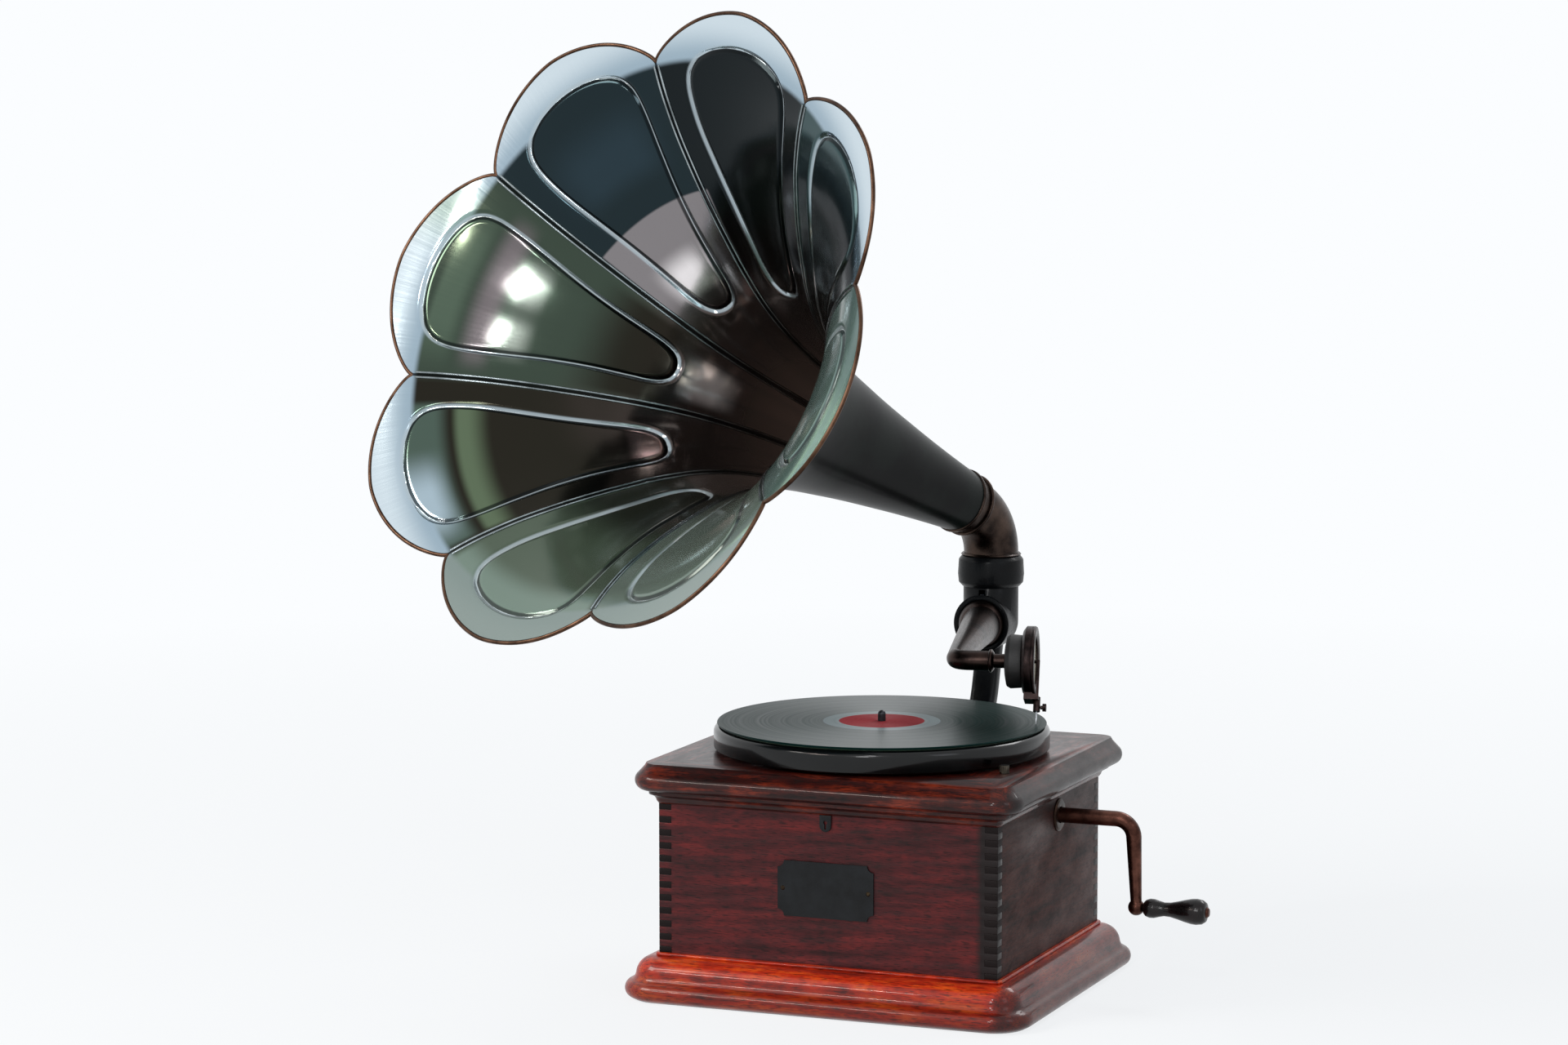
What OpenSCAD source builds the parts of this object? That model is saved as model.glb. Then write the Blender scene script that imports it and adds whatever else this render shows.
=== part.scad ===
// Spring-driven table gramophone with an eight-petal horn.
// Origin: centre of the cabinet's underside. Front is -Y, the winding crank is on +X.

/* [Cabinet] */
// Width of the cabinet body
body_w = 322; // [300:1:360]
// Depth of the cabinet body
body_d = 282; // [270:1:320]
// Height of the cabinet panels, up to the underside of the lid
body_h = 190; // [180:1:220]
// Thickness of the cabinet panels
panel_t = 12; // [9:0.5:16]
// Fingers and gaps in each corner joint
finger_count = 32; // [16:2:40]
// Thickness of the bottom board
bottom_t = 10; // [8:0.5:14]
// Height of the base moulding
base_h = 42; // [36:1:52]
// Reach of the base moulding past the body
base_reach = 32.5; // [26:0.5:38]
// Height of the cove under the lid
cove_h = 12; // [10:0.5:16]
// Reach of the cove past the body
cove_reach = 10.5; // [8:0.5:12]
// Thickness of the lid
lid_t = 24.8; // [20:0.2:30]
// Reach of the flat top of the lid past the body
lid_flat_reach = 12.4; // [8:0.2:14]
// Reach of the nose of the lid past the body
lid_nose_reach = 22.8; // [20:0.2:26]
// How far inside the body corner the mouldings turn
corner_inset = 4; // [2:0.5:8]
// Width of the nameplate
plate_w = 91; // [70:1:110]
// Height of the nameplate
plate_h = 50; // [36:1:60]
// Radius of the scooped nameplate corners
plate_scoop_r = 6; // [3:0.5:9]
// Height of the nameplate's middle above the floor
plate_z = 110; // [90:1:120]

/* [Turntable] */
// Radius of the record
record_r = 150; // [125:1:150]
// Thickness of the record
record_t = 1.8; // [1.5:0.1:2.5]
// Radius of the platter
platter_r = 153; // [151:0.5:156]
// Height of the platter's rim
platter_h = 20; // [16:0.5:24]
// Gap between the lid and the platter's rim
platter_gap = 3.6; // [3:0.2:6]
// Thickness of the felt
felt_t = 1.2; // [0.8:0.1:2]
// Radius of the spindle's tip
tip_r = 3.6; // [3.4:0.05:3.7]
// Distance of the spindle in front of the cabinet's middle
spindle_forward = 2; // [0:1:6]

/* [Tone arm and sound box] */
// Distance from the cabinet's back to the axis of the horn socket
socket_back = 155; // [145:1:170]
// Distance from the socket's axis forward to the tone arm's pivot
pivot_forward = 24; // [22:1:28]
// Height of the tone arm's middle above the lid
arm_z = 80.2; // [75.2:0.2:85.2]
// Length of the tone arm from its pivot to the bend
arm_len = 242; // [238:1:246]
// Swing of the tone arm at rest, outwards from straight ahead
arm_yaw = 13.5; // [12:0.5:15]
// Radius of the tone arm at its pivot end
arm_r = 18.5; // [16:0.5:19]
// Radius of the tone arm at the bend
arm_end_r = 9; // [8:0.25:10]
// Wall of the tone arm
arm_wall = 1.5; // [1:0.1:2]
// Centre-line radius of the tone arm's bend
arm_bend_r = 13; // [12:0.5:16]
// Distance from the arm's line to the middle of the sound box
box_reach = 69; // [66:0.5:72]
// Radius of the sound box
box_r = 32.5; // [28:0.5:34]
// Thickness of the sound box's rim
box_t = 12; // [10:0.5:14]
// Radius of the rubber flange
flange_r = 24.8; // [20:0.2:26]
// Forward lean of the stylus bar and needle
needle_lean = 24; // [18:1:30]
// Radius of the needle
needle_r = 0.8; // [0.6:0.1:1.2]

/* [Horn] */
// Number of petals
petal_count = 8; // [8:1:8]
// Length of the horn from the throat ring to the notches between the petals
horn_len = 505; // [460:5:540]
// Inner radius of the throat
throat_r = 28.5; // [27:0.25:30]
// Radius at the notches between the petals
notch_r = 259; // [230:1:275]
// How far each petal reaches outwards past the notches
petal_out = 37.7; // [25:0.5:45]
// How far each petal reaches forwards past the notches
petal_fore = 17.9; // [10:0.5:24]
// Thickness of the petals' sheet steel
sheet_t = 1.2; // [1:0.1:1.6]
// Radius of the rolled edge
wire_r = 1.9; // [1.5:0.1:2.5]
// Turn of the horn at rest, from straight ahead towards the left
horn_yaw = 21.1; // [0:0.1:40]
// Rise of the horn's axis
horn_rise = 22.5; // [18:0.5:26]
// Angle of the first seam round the axis
seam_turn = 12.4; // [0:0.1:44]
// Centre-line radius of the horn elbow
elbow_bend_r = 52; // [46:1:58]
// Outer radius of the horn elbow
elbow_r = 26.3; // [25.6:0.1:27.4]
// Wall of the horn elbow
elbow_wall = 2.3; // [1.8:0.1:3]

/* [Bracket] */
// Height of the swivel collar
collar_h = 30; // [24:1:34]
// Radius of the swivel collar
collar_r = 32; // [30:0.5:35]
// Outer radius of the bracket's elbow
casting_r = 26.6; // [26:0.1:28]
// Wall of the bracket's elbow
casting_wall = 3.1; // [2.6:0.1:3.6]
// Width of the bracket's post
post_w = 25; // [20:0.5:30]
// Thickness of the bracket's post
post_t = 16; // [12:0.5:20]
// Radius of the curve in the bracket's post
post_curve_r = 100; // [90:1:110]
// Width of the foot plate
foot_w = 74; // [60:1:90]
// Height of the foot plate
foot_h = 100; // [90:1:110]
// Thickness of the foot plate
foot_t = 6; // [5:0.5:9]

/* [Crank] */
// Distance of the crank's axis behind the cabinet's middle
crank_y = 25.5; // [10:0.5:40]
// Depth of the crank's axis under the lid
crank_z = 29; // [27:0.5:32]
// Radius of the crank's shaft
crank_r = 7; // [5.5:0.25:8]
// Distance from the side panel to the crank's arm
crank_out = 70.5; // [60:0.5:85]
// Throw of the crank, from the shaft to the handle
crank_throw = 82.8; // [70:0.2:100]
// Swing of the crank's arm at rest, backwards from straight down
crank_turn = 8; // [0:1:40]
// Radius of the crank's arm at the handle
crank_end_r = 4.9; // [4:0.1:6]
// Length of the handle
handle_len = 59; // [50:1:70]
// Largest radius of the handle
handle_r = 11.8; // [9:0.1:13]
// Radius of the pin in the handle
handle_pin_r = 3; // [2.5:0.1:4]

/* [Motor] */
// Module of the train's gears
train_m = 1.5; // [1.4:0.05:1.55]
// Teeth of the spindle's pinion
spindle_teeth = 12; // [12:1:12]
// Teeth of the intermediate wheel
wheel_teeth = 40; // [40:1:40]
// Teeth of the intermediate pinion
pinion_teeth = 12; // [12:1:12]
// Teeth of the barrel gear
barrel_teeth = 48; // [48:1:48]
// Module of the governor's gears
governor_m = 1.25; // [1.2:0.05:1.3]
// Teeth of the spindle's lower wheel
drive_teeth = 52; // [52:1:52]
// Teeth of the governor's pinion
governor_teeth = 10; // [10:1:10]
// Teeth of the crank's pinion
crank_teeth = 12; // [12:1:12]
// Teeth of the winding wheel
winding_teeth = 36; // [36:1:36]
// Radius of the spring barrel
barrel_r = 33.5; // [30:0.5:34]
// Height of the spring barrel
barrel_h = 36; // [34:0.5:37]
// Thickness of the motor plates
motor_plate_t = 4; // [3:0.5:5]
// Radius of the spindle inside the motor
spindle_r = 5; // [4:0.25:5.5]
// Radius of the train's other shafts
shaft_r = 3; // [2.5:0.1:3.5]

/* [Clearances] */
// Radial clearance of a running shaft
run_gap = 0.05; // [0.03:0.01:0.08]
// Gap between faces that move past each other
face_gap = 0.3; // [0.2:0.05:0.5]
// Height of the needle's point above the groove
needle_gap = 0.3; // [0.2:0.05:0.4]
// Radial clearance of a bolt or screw in its hole
bolt_gap = 0.1; // [0.05:0.05:0.3]

/* [Hidden] */
$fn = 64;

// Levels of the cabinet
lid_z = body_h;
deck_z = lid_z + lid_t;
cove_z = lid_z - cove_h;
front_y = -body_d / 2;
back_y = body_d / 2;
side_x = body_w / 2;

// Turntable stack
spindle_y = -spindle_forward;
platter_z = deck_z + platter_gap;
felt_z = platter_z + platter_h;
record_z = felt_z + felt_t;
record_top = record_z + record_t;
platter_plate_t = 2.4;
platter_wall = 2.2;
platter_round = 6;
felt_r = record_r - 3;
tip_rise = 10;
hub_r = 14;
hub_h = 12;

// Tone arm
arm_mid_z = deck_z + arm_z;
socket_y = back_y + socket_back;
pivot_y = socket_y - pivot_forward;
bore_r = casting_r - casting_wall;
ball_r = bore_r - face_gap;
ball_inner_r = ball_r - 3;
pivot_pin_r = 2;
screw_head_r = 3.6;
mouth_fore = 4.5;
stub_x = 31;
neck_r = 6.5;
needle_drop = (arm_mid_z - record_top - needle_gap) / cos(needle_lean);

// Sound box, measured along its axis from the arm's line
shell_x = box_reach - box_t / 2;
bezel_t = 3.5;
bezel_x = shell_x + box_t - bezel_t;
bezel_r = box_r - 5;
flange_x = 46.5;
face_x = shell_x + box_t;
bar_x = face_x + 1.6;
bar_t = 2.4;

// Horn socket and elbow
casting_rise = 34;
casting_top_z = arm_mid_z + casting_rise;
collar_top_z = casting_top_z + collar_h;
horn_z = collar_top_z + 2.4;
spigot_r = elbow_r - 2.2;
spigot_len = 24;
elbow_turn = 90 - horn_rise;
throat_y = -elbow_bend_r * (1 - cos(elbow_turn));
throat_z = elbow_bend_r * sin(elbow_turn);

// Share of the horn's length, and share of its growth from throat to notch
flare = [
    [0, 0], [0.12, 0.028], [0.25, 0.066], [0.40, 0.118], [0.53, 0.178], [0.62, 0.25],
    [0.70, 0.352], [0.76, 0.45], [0.82, 0.558], [0.88, 0.678], [0.94, 0.817], [1, 1]
];
petal_cells = 6;
sleeve_len = 18;
petal_angle = 360 / petal_count;
rim_power = 1.67;
rim_round = 0.72;

// Motor levels
motor_top_z = lid_z - motor_plate_t;
motor_h = 94;
motor_low_z = lid_z - motor_h;
crank_mid_z = lid_z - crank_z;
barrel_z = motor_low_z + motor_plate_t + 4;
barrel_gear_z = barrel_z + barrel_h;
barrel_gear_t = 4;
drive_z = motor_low_z + 14;
disc_z = motor_low_z + 52;
disc_t = 2.5;
gear_t = 4;
train_z = crank_mid_z + crank_r + 1.5;
pinion_long = 8;
barrel_x = 70;

// Pitch radii of the train
spindle_pr = train_m * spindle_teeth / 2;
wheel_pr = train_m * wheel_teeth / 2;
pinion_pr = train_m * pinion_teeth / 2;
barrel_pr = train_m * barrel_teeth / 2;
drive_pr = governor_m * drive_teeth / 2;
governor_pr = governor_m * governor_teeth / 2;
crank_pr = train_m * crank_teeth / 2;
winding_pr = train_m * winding_teeth / 2;

// The intermediate shaft lies where both of its meshes close
spindle_at = [0, spindle_y];
barrel_at = [barrel_x, crank_y];
reach_1 = spindle_pr + wheel_pr;
reach_2 = pinion_pr + barrel_pr;
base_line = norm(barrel_at - spindle_at);
along = (reach_1 * reach_1 - reach_2 * reach_2 + base_line * base_line) / (2 * base_line);
aside = sqrt(reach_1 * reach_1 - along * along);
line_dir = (barrel_at - spindle_at) / base_line;
middle_at = spindle_at + along * line_dir + aside * [line_dir[1], -line_dir[0]];
governor_dir = 219;
governor_at = spindle_at + (drive_pr + governor_pr) * [cos(governor_dir), sin(governor_dir)];
angle_spindle_middle = atan2(middle_at[1] - spindle_at[1], middle_at[0] - spindle_at[0]);
angle_middle_barrel = atan2(barrel_at[1] - middle_at[1], barrel_at[0] - middle_at[0]);

// Motor plate and pillars
plate_x0 = -74;
plate_x1 = 118;
plate_y0 = -74;
plate_y1 = 74;
pillar_r = 4.5;
pillars_at = [
    [plate_x0 + 9, plate_y0 + 9], [plate_x0 + 9, plate_y1 - 9],
    [plate_x1 - 9, plate_y0 + 26], [plate_x1 - 9, plate_y1 - 9]
];
bolt_r = 2.5;
bolts_at = [[-45, 60], [-45, -66], [92, -48], [92, 66]];

// Speed control
// A narrower body moves the knob in and forward by as much, so that it stays clear of the platter
knob_inset = 16;
knob_reach = 222;
knob_right = side_x - knob_inset;
knob_at = [knob_right, spindle_y - (knob_reach - knob_right)];
knob_r = 4.4;
knob_h = 7;
knob_shaft_r = 2.5;
lever_z = train_z + pinion_long - 2.5;
lever_t = 2.5;
lever_w = 8;
disc_r = 15;
lever_from = knob_at;
lever_to = governor_at + [disc_r - 6, -4];
lever_len = norm(lever_to - lever_from);
lever_dir = atan2(lever_to[1] - lever_from[1], lever_to[0] - lever_from[0]);
lever_past = 2;
pad_r = 3;
pad_low = disc_z + disc_t + face_gap - lever_z;
lever_pin_r = 1.8;
lug_t = 3;
lug_sink = 1;

// The lever's pin lies where bar and pad balance
bar_volume = lever_w * lever_t * (lever_len + lever_past);
pad_volume = PI * pad_r * pad_r * (lever_t / 2 - pad_low);
lever_share = (bar_volume * (lever_len - lever_past) / 2 + pad_volume * lever_len)
    / (bar_volume + pad_volume) / lever_len;

// Points of an arc, for outlines
function arc(cx, cy, r, from, to, steps) =
    [for (i = [0:steps]) let (a = from + (to - from) * i / steps) [cx + r * cos(a), cy + r * sin(a)]];

// Outline of a spur gear with straight-flanked teeth
function gear_outline(teeth, m) = let (
        pitch = 360 / teeth,
        root = m * teeth / 2 - 1.15 * m,
        tip = m * teeth / 2 + 0.85 * m
    )
    [for (i = [0:teeth - 1], c = [[-0.27, root], [-0.11, tip], [0.11, tip], [0.27, root]])
        let (a = (i + c[0]) * pitch) [c[1] * cos(a), c[1] * sin(a)]];

// Radius of the bell at a station of the flare, without the petals' reach
function bell_r(i) = throat_r + (notch_r - throat_r) * flare[i][1];

// How far the petal reaches past the notches, from 0 at a seam to 1 at its middle
function petal_reach(t) = pow(max(0, 1 - pow(abs(2 * t - 1), rim_power)), rim_round);

// Point of the bell: station i, share t across petal k, moved out by d
function bell_point(i, t, k, d) = let (
        last = len(flare) - 1,
        grow = i == last ? petal_reach(t) : 0,
        a = seam_turn + (k + t) * petal_angle,
        r = bell_r(i) + grow * petal_out,
        z = horn_len * flare[i][0] + grow * petal_fore,
        p = min(i + 1, last),
        q = max(i - 1, 0),
        dr = bell_r(p) - bell_r(q),
        dz = horn_len * (flare[p][0] - flare[q][0]),
        l = norm([dr, dz])
    )
    [(r + d * dz / l) * cos(a), (r + d * dz / l) * sin(a), z - d * dr / l];

// Faces of a grid of rows by columns, one way up or the other
function grid_faces(rows, cols, start, up) =
    [for (i = [0:rows - 2], j = [0:cols - 2], h = [0, 1])
        let (
            a = start + i * cols + j,
            b = a + 1,
            c = a + cols,
            d = c + 1,
            f = h == 0 ? [a, b, d] : [a, d, c]
        )
        up ? f : [f[2], f[1], f[0]]];

// Gear of a given thickness, turned so that a tooth points along an angle
module gear(teeth, m, t, turn) {
    rotate([0, 0, turn])
        linear_extrude(height = t)
            polygon(gear_outline(teeth, m));
}

// Solid edge that runs round a rectangle, outline given as reach and height
module moulded_edge(outline) {
    for (k = [0:3]) {
        w = k % 2 == 0 ? body_w : body_d;
        d = k % 2 == 0 ? body_d : body_w;
        rotate([0, 0, 90 * k]) {
            translate([w / 2 - corner_inset, d / 2 - corner_inset, 0])
                rotate([90, 0, 0])
                    linear_extrude(height = d - 2 * corner_inset)
                        polygon(outline);
            translate([w / 2 - corner_inset, d / 2 - corner_inset, 0])
                rotate_extrude(angle = 90)
                    polygon(outline);
        }
    }
}

// Ring round the body, cut to fit it
module ring_moulding(outline, low, high) {
    difference() {
        moulded_edge(outline);
        translate([-side_x, front_y, low - 1])
            cube([body_w, body_d, high - low + 2]);
    }
}

// Panel across the front or back, with the even fingers
module finger_front(y0) {
    finger_h = body_h / finger_count;
    difference() {
        translate([-side_x, y0, 0])
            cube([body_w, panel_t, body_h]);
        for (i = [1:2:finger_count - 1], x = [-side_x - 1, side_x - panel_t])
            translate([x, y0 - 1, i * finger_h])
                cube([panel_t + 1, panel_t + 2, finger_h]);
    }
}

// Panel down one side, with the odd fingers
module finger_side(x0) {
    finger_h = body_h / finger_count;
    difference() {
        translate([x0, front_y, 0])
            cube([panel_t, body_d, body_h]);
        for (i = [0:2:finger_count - 2], y = [front_y - 1, back_y - panel_t])
            translate([x0 - 1, y, i * finger_h])
                cube([panel_t + 2, panel_t + 1, finger_h]);
    }
}

module front_panel() {
    color("#5b1e17")
        finger_front(front_y);
}

module back_panel() {
    color("#5b1e17")
        difference() {
            finger_front(back_y - panel_t);
            for (p = foot_screws_at())
                translate([p[0], back_y - panel_t - 1, p[1]])
                    rotate([-90, 0, 0])
                        cylinder(r = foot_screw_r + bolt_gap, h = panel_t + 2);
        }
}

module left_panel() {
    color("#4a1a14")
        finger_side(-side_x);
}

module right_panel() {
    color("#4a1a14")
        difference() {
            finger_side(side_x - panel_t);
            translate([side_x - panel_t - 1, crank_y, crank_mid_z])
                rotate([0, 90, 0])
                    cylinder(r = crank_r + 2, h = panel_t + 2);
        }
}

module bottom_board() {
    color("#6b4a35")
        translate([-side_x + panel_t, front_y + panel_t, 0])
            cube([body_w - 2 * panel_t, body_d - 2 * panel_t, bottom_t]);
}

// Base moulding: bead, ovolo, fillet and a big torus
module base_moulding() {
    c = corner_inset;
    torus_r = base_h * 0.2;
    outline = concat(
        [[0, base_h], [c + 2.6, base_h]],
        arc(c + 2.6, base_h - 1.6, 1.6, 80, -60, 5),
        arc(c + base_reach * 0.17, base_h * 0.52, base_h * 0.4, 72, 4, 8),
        [[c + base_reach * 0.72, base_h * 0.48]],
        arc(c + base_reach - torus_r, base_h * 0.225, torus_r, 82, -70, 10),
        [[c + base_reach - torus_r, 0], [0, 0]]
    );
    color("#8a2f1a")
        ring_moulding(outline, 0, base_h);
}

// Cove moulding: hollow above, small nose below
module cove_moulding() {
    c = corner_inset;
    outline = concat(
        [[0, lid_z], [c + cove_reach, lid_z], [c + cove_reach - 0.4, lid_z - cove_h * 0.3]],
        arc(c + cove_reach, cove_z + cove_h * 0.06, cove_h * 0.62, 100, 168, 6),
        [[c + 1.4, cove_z], [0, cove_z]]
    );
    color("#4a1712")
        ring_moulding(outline, cove_z, lid_z);
}

// Lid: board with a sloped shoulder and a rounded nose
module lid_board() {
    c = corner_inset;
    nose_r = lid_t * 0.36;
    outline = concat(
        [[0, lid_z], [c + lid_nose_reach - nose_r - 2, lid_z]],
        arc(c + lid_nose_reach - nose_r, lid_z + nose_r + 0.3, nose_r, -90, 52, 10),
        [[c + lid_flat_reach + 1.5, deck_z - 2.6], [c + lid_flat_reach, deck_z], [0, deck_z]]
    );
    color("#45140f")
        difference() {
            union() {
                moulded_edge(outline);
                translate([-side_x + c, front_y + c, lid_z])
                    cube([body_w - 2 * c, body_d - 2 * c, lid_t]);
            }
            translate([0, spindle_y, lid_z - 1])
                cylinder(r = bush_r + bolt_gap, h = lid_t + 2);
            translate([knob_at[0], knob_at[1], lid_z - 1])
                cylinder(r = knob_shaft_r + run_gap, h = lid_t + 2);
            for (p = bolts_at)
                translate([p[0], p[1] + spindle_y, lid_z - 1])
                    cylinder(r = bolt_r + bolt_gap, h = lid_t + 2);
        }
}

// Nameplate, left bare, with scooped corners
plate_t = 1.6;
module nameplate() {
    color("#101113")
        difference() {
            translate([-plate_w / 2, front_y - plate_t, plate_z - plate_h / 2])
                cube([plate_w, plate_t, plate_h]);
            for (x = [-1, 1], z = [-1, 1])
                translate([x * plate_w / 2, front_y - plate_t - 1, plate_z + z * plate_h / 2])
                    rotate([-90, 0, 0])
                        cylinder(r = plate_scoop_r, h = plate_t + 2);
            for (x = [-1, 1])
                translate([x * (plate_w / 2 - 5), front_y - plate_t - 1, plate_z])
                    rotate([-90, 0, 0])
                        cylinder(r = 1.1, h = plate_t + 2);
        }
}

// Two round-headed pins that hold the nameplate
module nameplate_pins() {
    color("#2c2a28")
        for (x = [-1, 1])
            translate([x * (plate_w / 2 - 5), front_y, plate_z])
                rotate([90, 0, 0]) {
                    cylinder(r = 1, h = plate_t);
                    translate([0, 0, plate_t])
                        cylinder(r1 = 2.1, r2 = 1.2, h = 0.9);
                }
}

// Escutcheon of the lid's catch, just under the cove
catch_w = 11;
catch_h = 15;
catch_t = 2;
module lid_catch() {
    color("#141414")
        difference() {
            union() {
                translate([-catch_w / 2, front_y - catch_t, cove_z - catch_h + catch_w / 2])
                    cube([catch_w, catch_t, catch_h - catch_w / 2]);
                translate([0, front_y, cove_z - catch_h + catch_w / 2])
                    rotate([90, 0, 0])
                        cylinder(r = catch_w / 2, h = catch_t);
            }
            translate([0, front_y + 1, cove_z - catch_h * 0.45])
                rotate([90, 0, 0])
                    cylinder(r = 1.8, h = catch_t + 2);
            translate([-0.8, front_y - catch_t - 1, cove_z - catch_h * 0.85])
                cube([1.6, catch_t + 2, catch_h * 0.4]);
        }
}

// Round plate that lines the crank's hole
escutcheon_r = 15;
escutcheon_t = 2.2;
module crank_escutcheon() {
    color("#2b2623")
        translate([side_x, crank_y, crank_mid_z])
            rotate([0, 90, 0])
                rotate_extrude()
                    polygon([
                        [crank_r + 0.5, 0], [escutcheon_r, 0],
                        [escutcheon_r, escutcheon_t * 0.4],
                        [escutcheon_r - 2, escutcheon_t], [crank_r + 0.5, escutcheon_t]
                    ]);
}

// Section of the bracket's post, a rectangle with rounded corners
post_round = 5;
function post_outline() = let (
        w = post_w / 2 - post_round,
        t = post_t / 2 - post_round
    )
    concat(
        arc(t, w, post_round, 0, 90, 4), arc(-t, w, post_round, 90, 180, 4),
        arc(-t, -w, post_round, 180, 270, 4), arc(t, -w, post_round, 270, 360, 4)
    );

foot_screw_r = 2.6;
foot_drop = 68;
foot_z = body_h - foot_drop;
function foot_screws_at() =
    [for (x = [-1, 1], z = [-1, 1])
        [x * (foot_w / 2 - 10), foot_z + z * (foot_h / 2 - 11)]];

// The post leans back by this angle where it meets the elbow
post_lean = 17;
post_drop = 14;
post_top_z = arm_mid_z - post_drop;
post_rise = 48;
post_arc_y = socket_y - post_curve_r * cos(post_lean) - post_rise * sin(post_lean);
post_arc_z = post_top_z - post_rise * cos(post_lean) + post_curve_r * sin(post_lean);

// Cast bracket: foot plate, curved post and a hollow elbow for horn and tone arm
module horn_bracket() {
    arm_low_z = post_arc_z - post_curve_r;
    color("#15171a")
        difference() {
            union() {
                translate([0, socket_y, arm_mid_z])
                    cylinder(r = casting_r, h = casting_top_z - arm_mid_z);
                translate([0, socket_y, arm_mid_z])
                    sphere(r = casting_r);
                translate([0, socket_y, arm_mid_z])
                    rotate([90, 0, 0])
                        cylinder(r = casting_r, h = pivot_forward + mouth_fore);
                translate([0, pivot_y - mouth_fore + 3.5, arm_mid_z])
                    rotate([90, 0, 0])
                        cylinder(r = casting_r + 1.2, h = 3.5);
                translate([0, post_arc_y, post_arc_z])
                    rotate([90, 0, 90])
                        rotate([0, 0, -90])
                            rotate_extrude(angle = 90 - post_lean)
                                translate([post_curve_r, 0])
                                    polygon(post_outline());
                translate([0, socket_y - post_rise * sin(post_lean),
                        post_top_z - post_rise * cos(post_lean)])
                    rotate([-post_lean, 0, 0])
                        rotate([0, 0, 90])
                            linear_extrude(height = post_rise)
                                polygon(post_outline());
                translate([0, post_arc_y, arm_low_z])
                    rotate([90, 0, 0])
                        rotate([0, 0, 90])
                            linear_extrude(height = post_arc_y - back_y)
                                polygon(post_outline());
                translate([-foot_w / 2, back_y, foot_z - foot_h / 2])
                    cube([foot_w, foot_t, foot_h]);
                translate([-4, 0, 0])
                    rotate([90, 0, 90])
                        linear_extrude(height = 8)
                            polygon([
                                [back_y + 1, foot_z - foot_h / 2 + 10],
                                [back_y + foot_t, foot_z - foot_h / 2 + 10],
                                [post_arc_y + 8, arm_low_z - post_t / 2 + 2],
                                [post_arc_y, arm_low_z],
                                [back_y + 1, arm_low_z]
                            ]);
            }
            translate([0, socket_y, arm_mid_z])
                cylinder(r = bore_r, h = casting_top_z - arm_mid_z + 1);
            translate([0, socket_y, arm_mid_z])
                sphere(r = bore_r);
            translate([0, socket_y, arm_mid_z])
                rotate([90, 0, 0])
                    cylinder(r = bore_r, h = pivot_forward + mouth_fore + 1);
            for (z = [0, 1])
                translate([0, pivot_y, arm_mid_z])
                    mirror([0, 0, z]) {
                        translate([0, 0, casting_r - 6])
                            cylinder(r = pivot_pin_r + run_gap, h = 6);
                        translate([0, 0, casting_r])
                            cylinder(r = screw_head_r + 0.4, h = 6);
                    }
            for (p = foot_screws_at())
                translate([p[0], back_y - 1, p[1]])
                    rotate([-90, 0, 0])
                        cylinder(r = foot_screw_r + bolt_gap, h = foot_t + 2);
        }
}

// Round-headed screws through the foot plate
module bracket_screws() {
    color("#1b1b1b")
        for (p = foot_screws_at())
            translate([p[0], back_y + foot_t, p[1]])
                rotate([-90, 0, 0]) {
                    translate([0, 0, -foot_t - panel_t + 1])
                        cylinder(r = foot_screw_r, h = foot_t + panel_t - 1);
                    cylinder(r1 = 5, r2 = 3, h = 2.6);
                }
}

// Collar that takes the horn's spigot
module swivel_collar() {
    c = 4;
    in_r = spigot_r + run_gap;
    color("#15171a")
        translate([0, socket_y, casting_top_z])
            rotate_extrude()
                polygon(concat(
                    [[in_r, 0], [collar_r - c - 0.5, 0]],
                    [[collar_r - 0.8, c]],
                    [[collar_r, collar_h * 0.4], [collar_r - 0.8, collar_h - c]],
                    [[collar_r - c, collar_h], [in_r, collar_h]]
                ));
}

// Upper and lower screws that the tone arm turns on
module pivot_screws() {
    color("#2a2a2a")
        for (z = [0, 1])
            translate([0, pivot_y, arm_mid_z])
                mirror([0, 0, z]) {
                    translate([0, 0, ball_r - 2.6])
                        cylinder(r = pivot_pin_r, h = casting_r - ball_r + 2.7);
                    translate([0, 0, casting_r + 0.1])
                        cylinder(r1 = screw_head_r, r2 = screw_head_r - 1, h = 1.8);
                }
}

// Plate with the train's bearing holes
module motor_plate(z0) {
    difference() {
        translate([plate_x0, plate_y0, z0])
            cube([plate_x1 - plate_x0, plate_y1 - plate_y0, motor_plate_t]);
        for (p = pillars_at)
            translate([p[0], p[1], z0 - 1])
                cylinder(r = 2.6, h = motor_plate_t + 2);
        for (p = [middle_at, governor_at, barrel_at])
            translate([p[0], p[1], z0 - 1])
                cylinder(r = shaft_r + run_gap, h = motor_plate_t + 2);
    }
}

// Place a piece in the speed lever's frame: +X runs from the knob to the pad
module at_lever() {
    translate([lever_from[0], lever_from[1], lever_z])
        rotate([0, 0, lever_dir])
            children();
}

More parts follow.
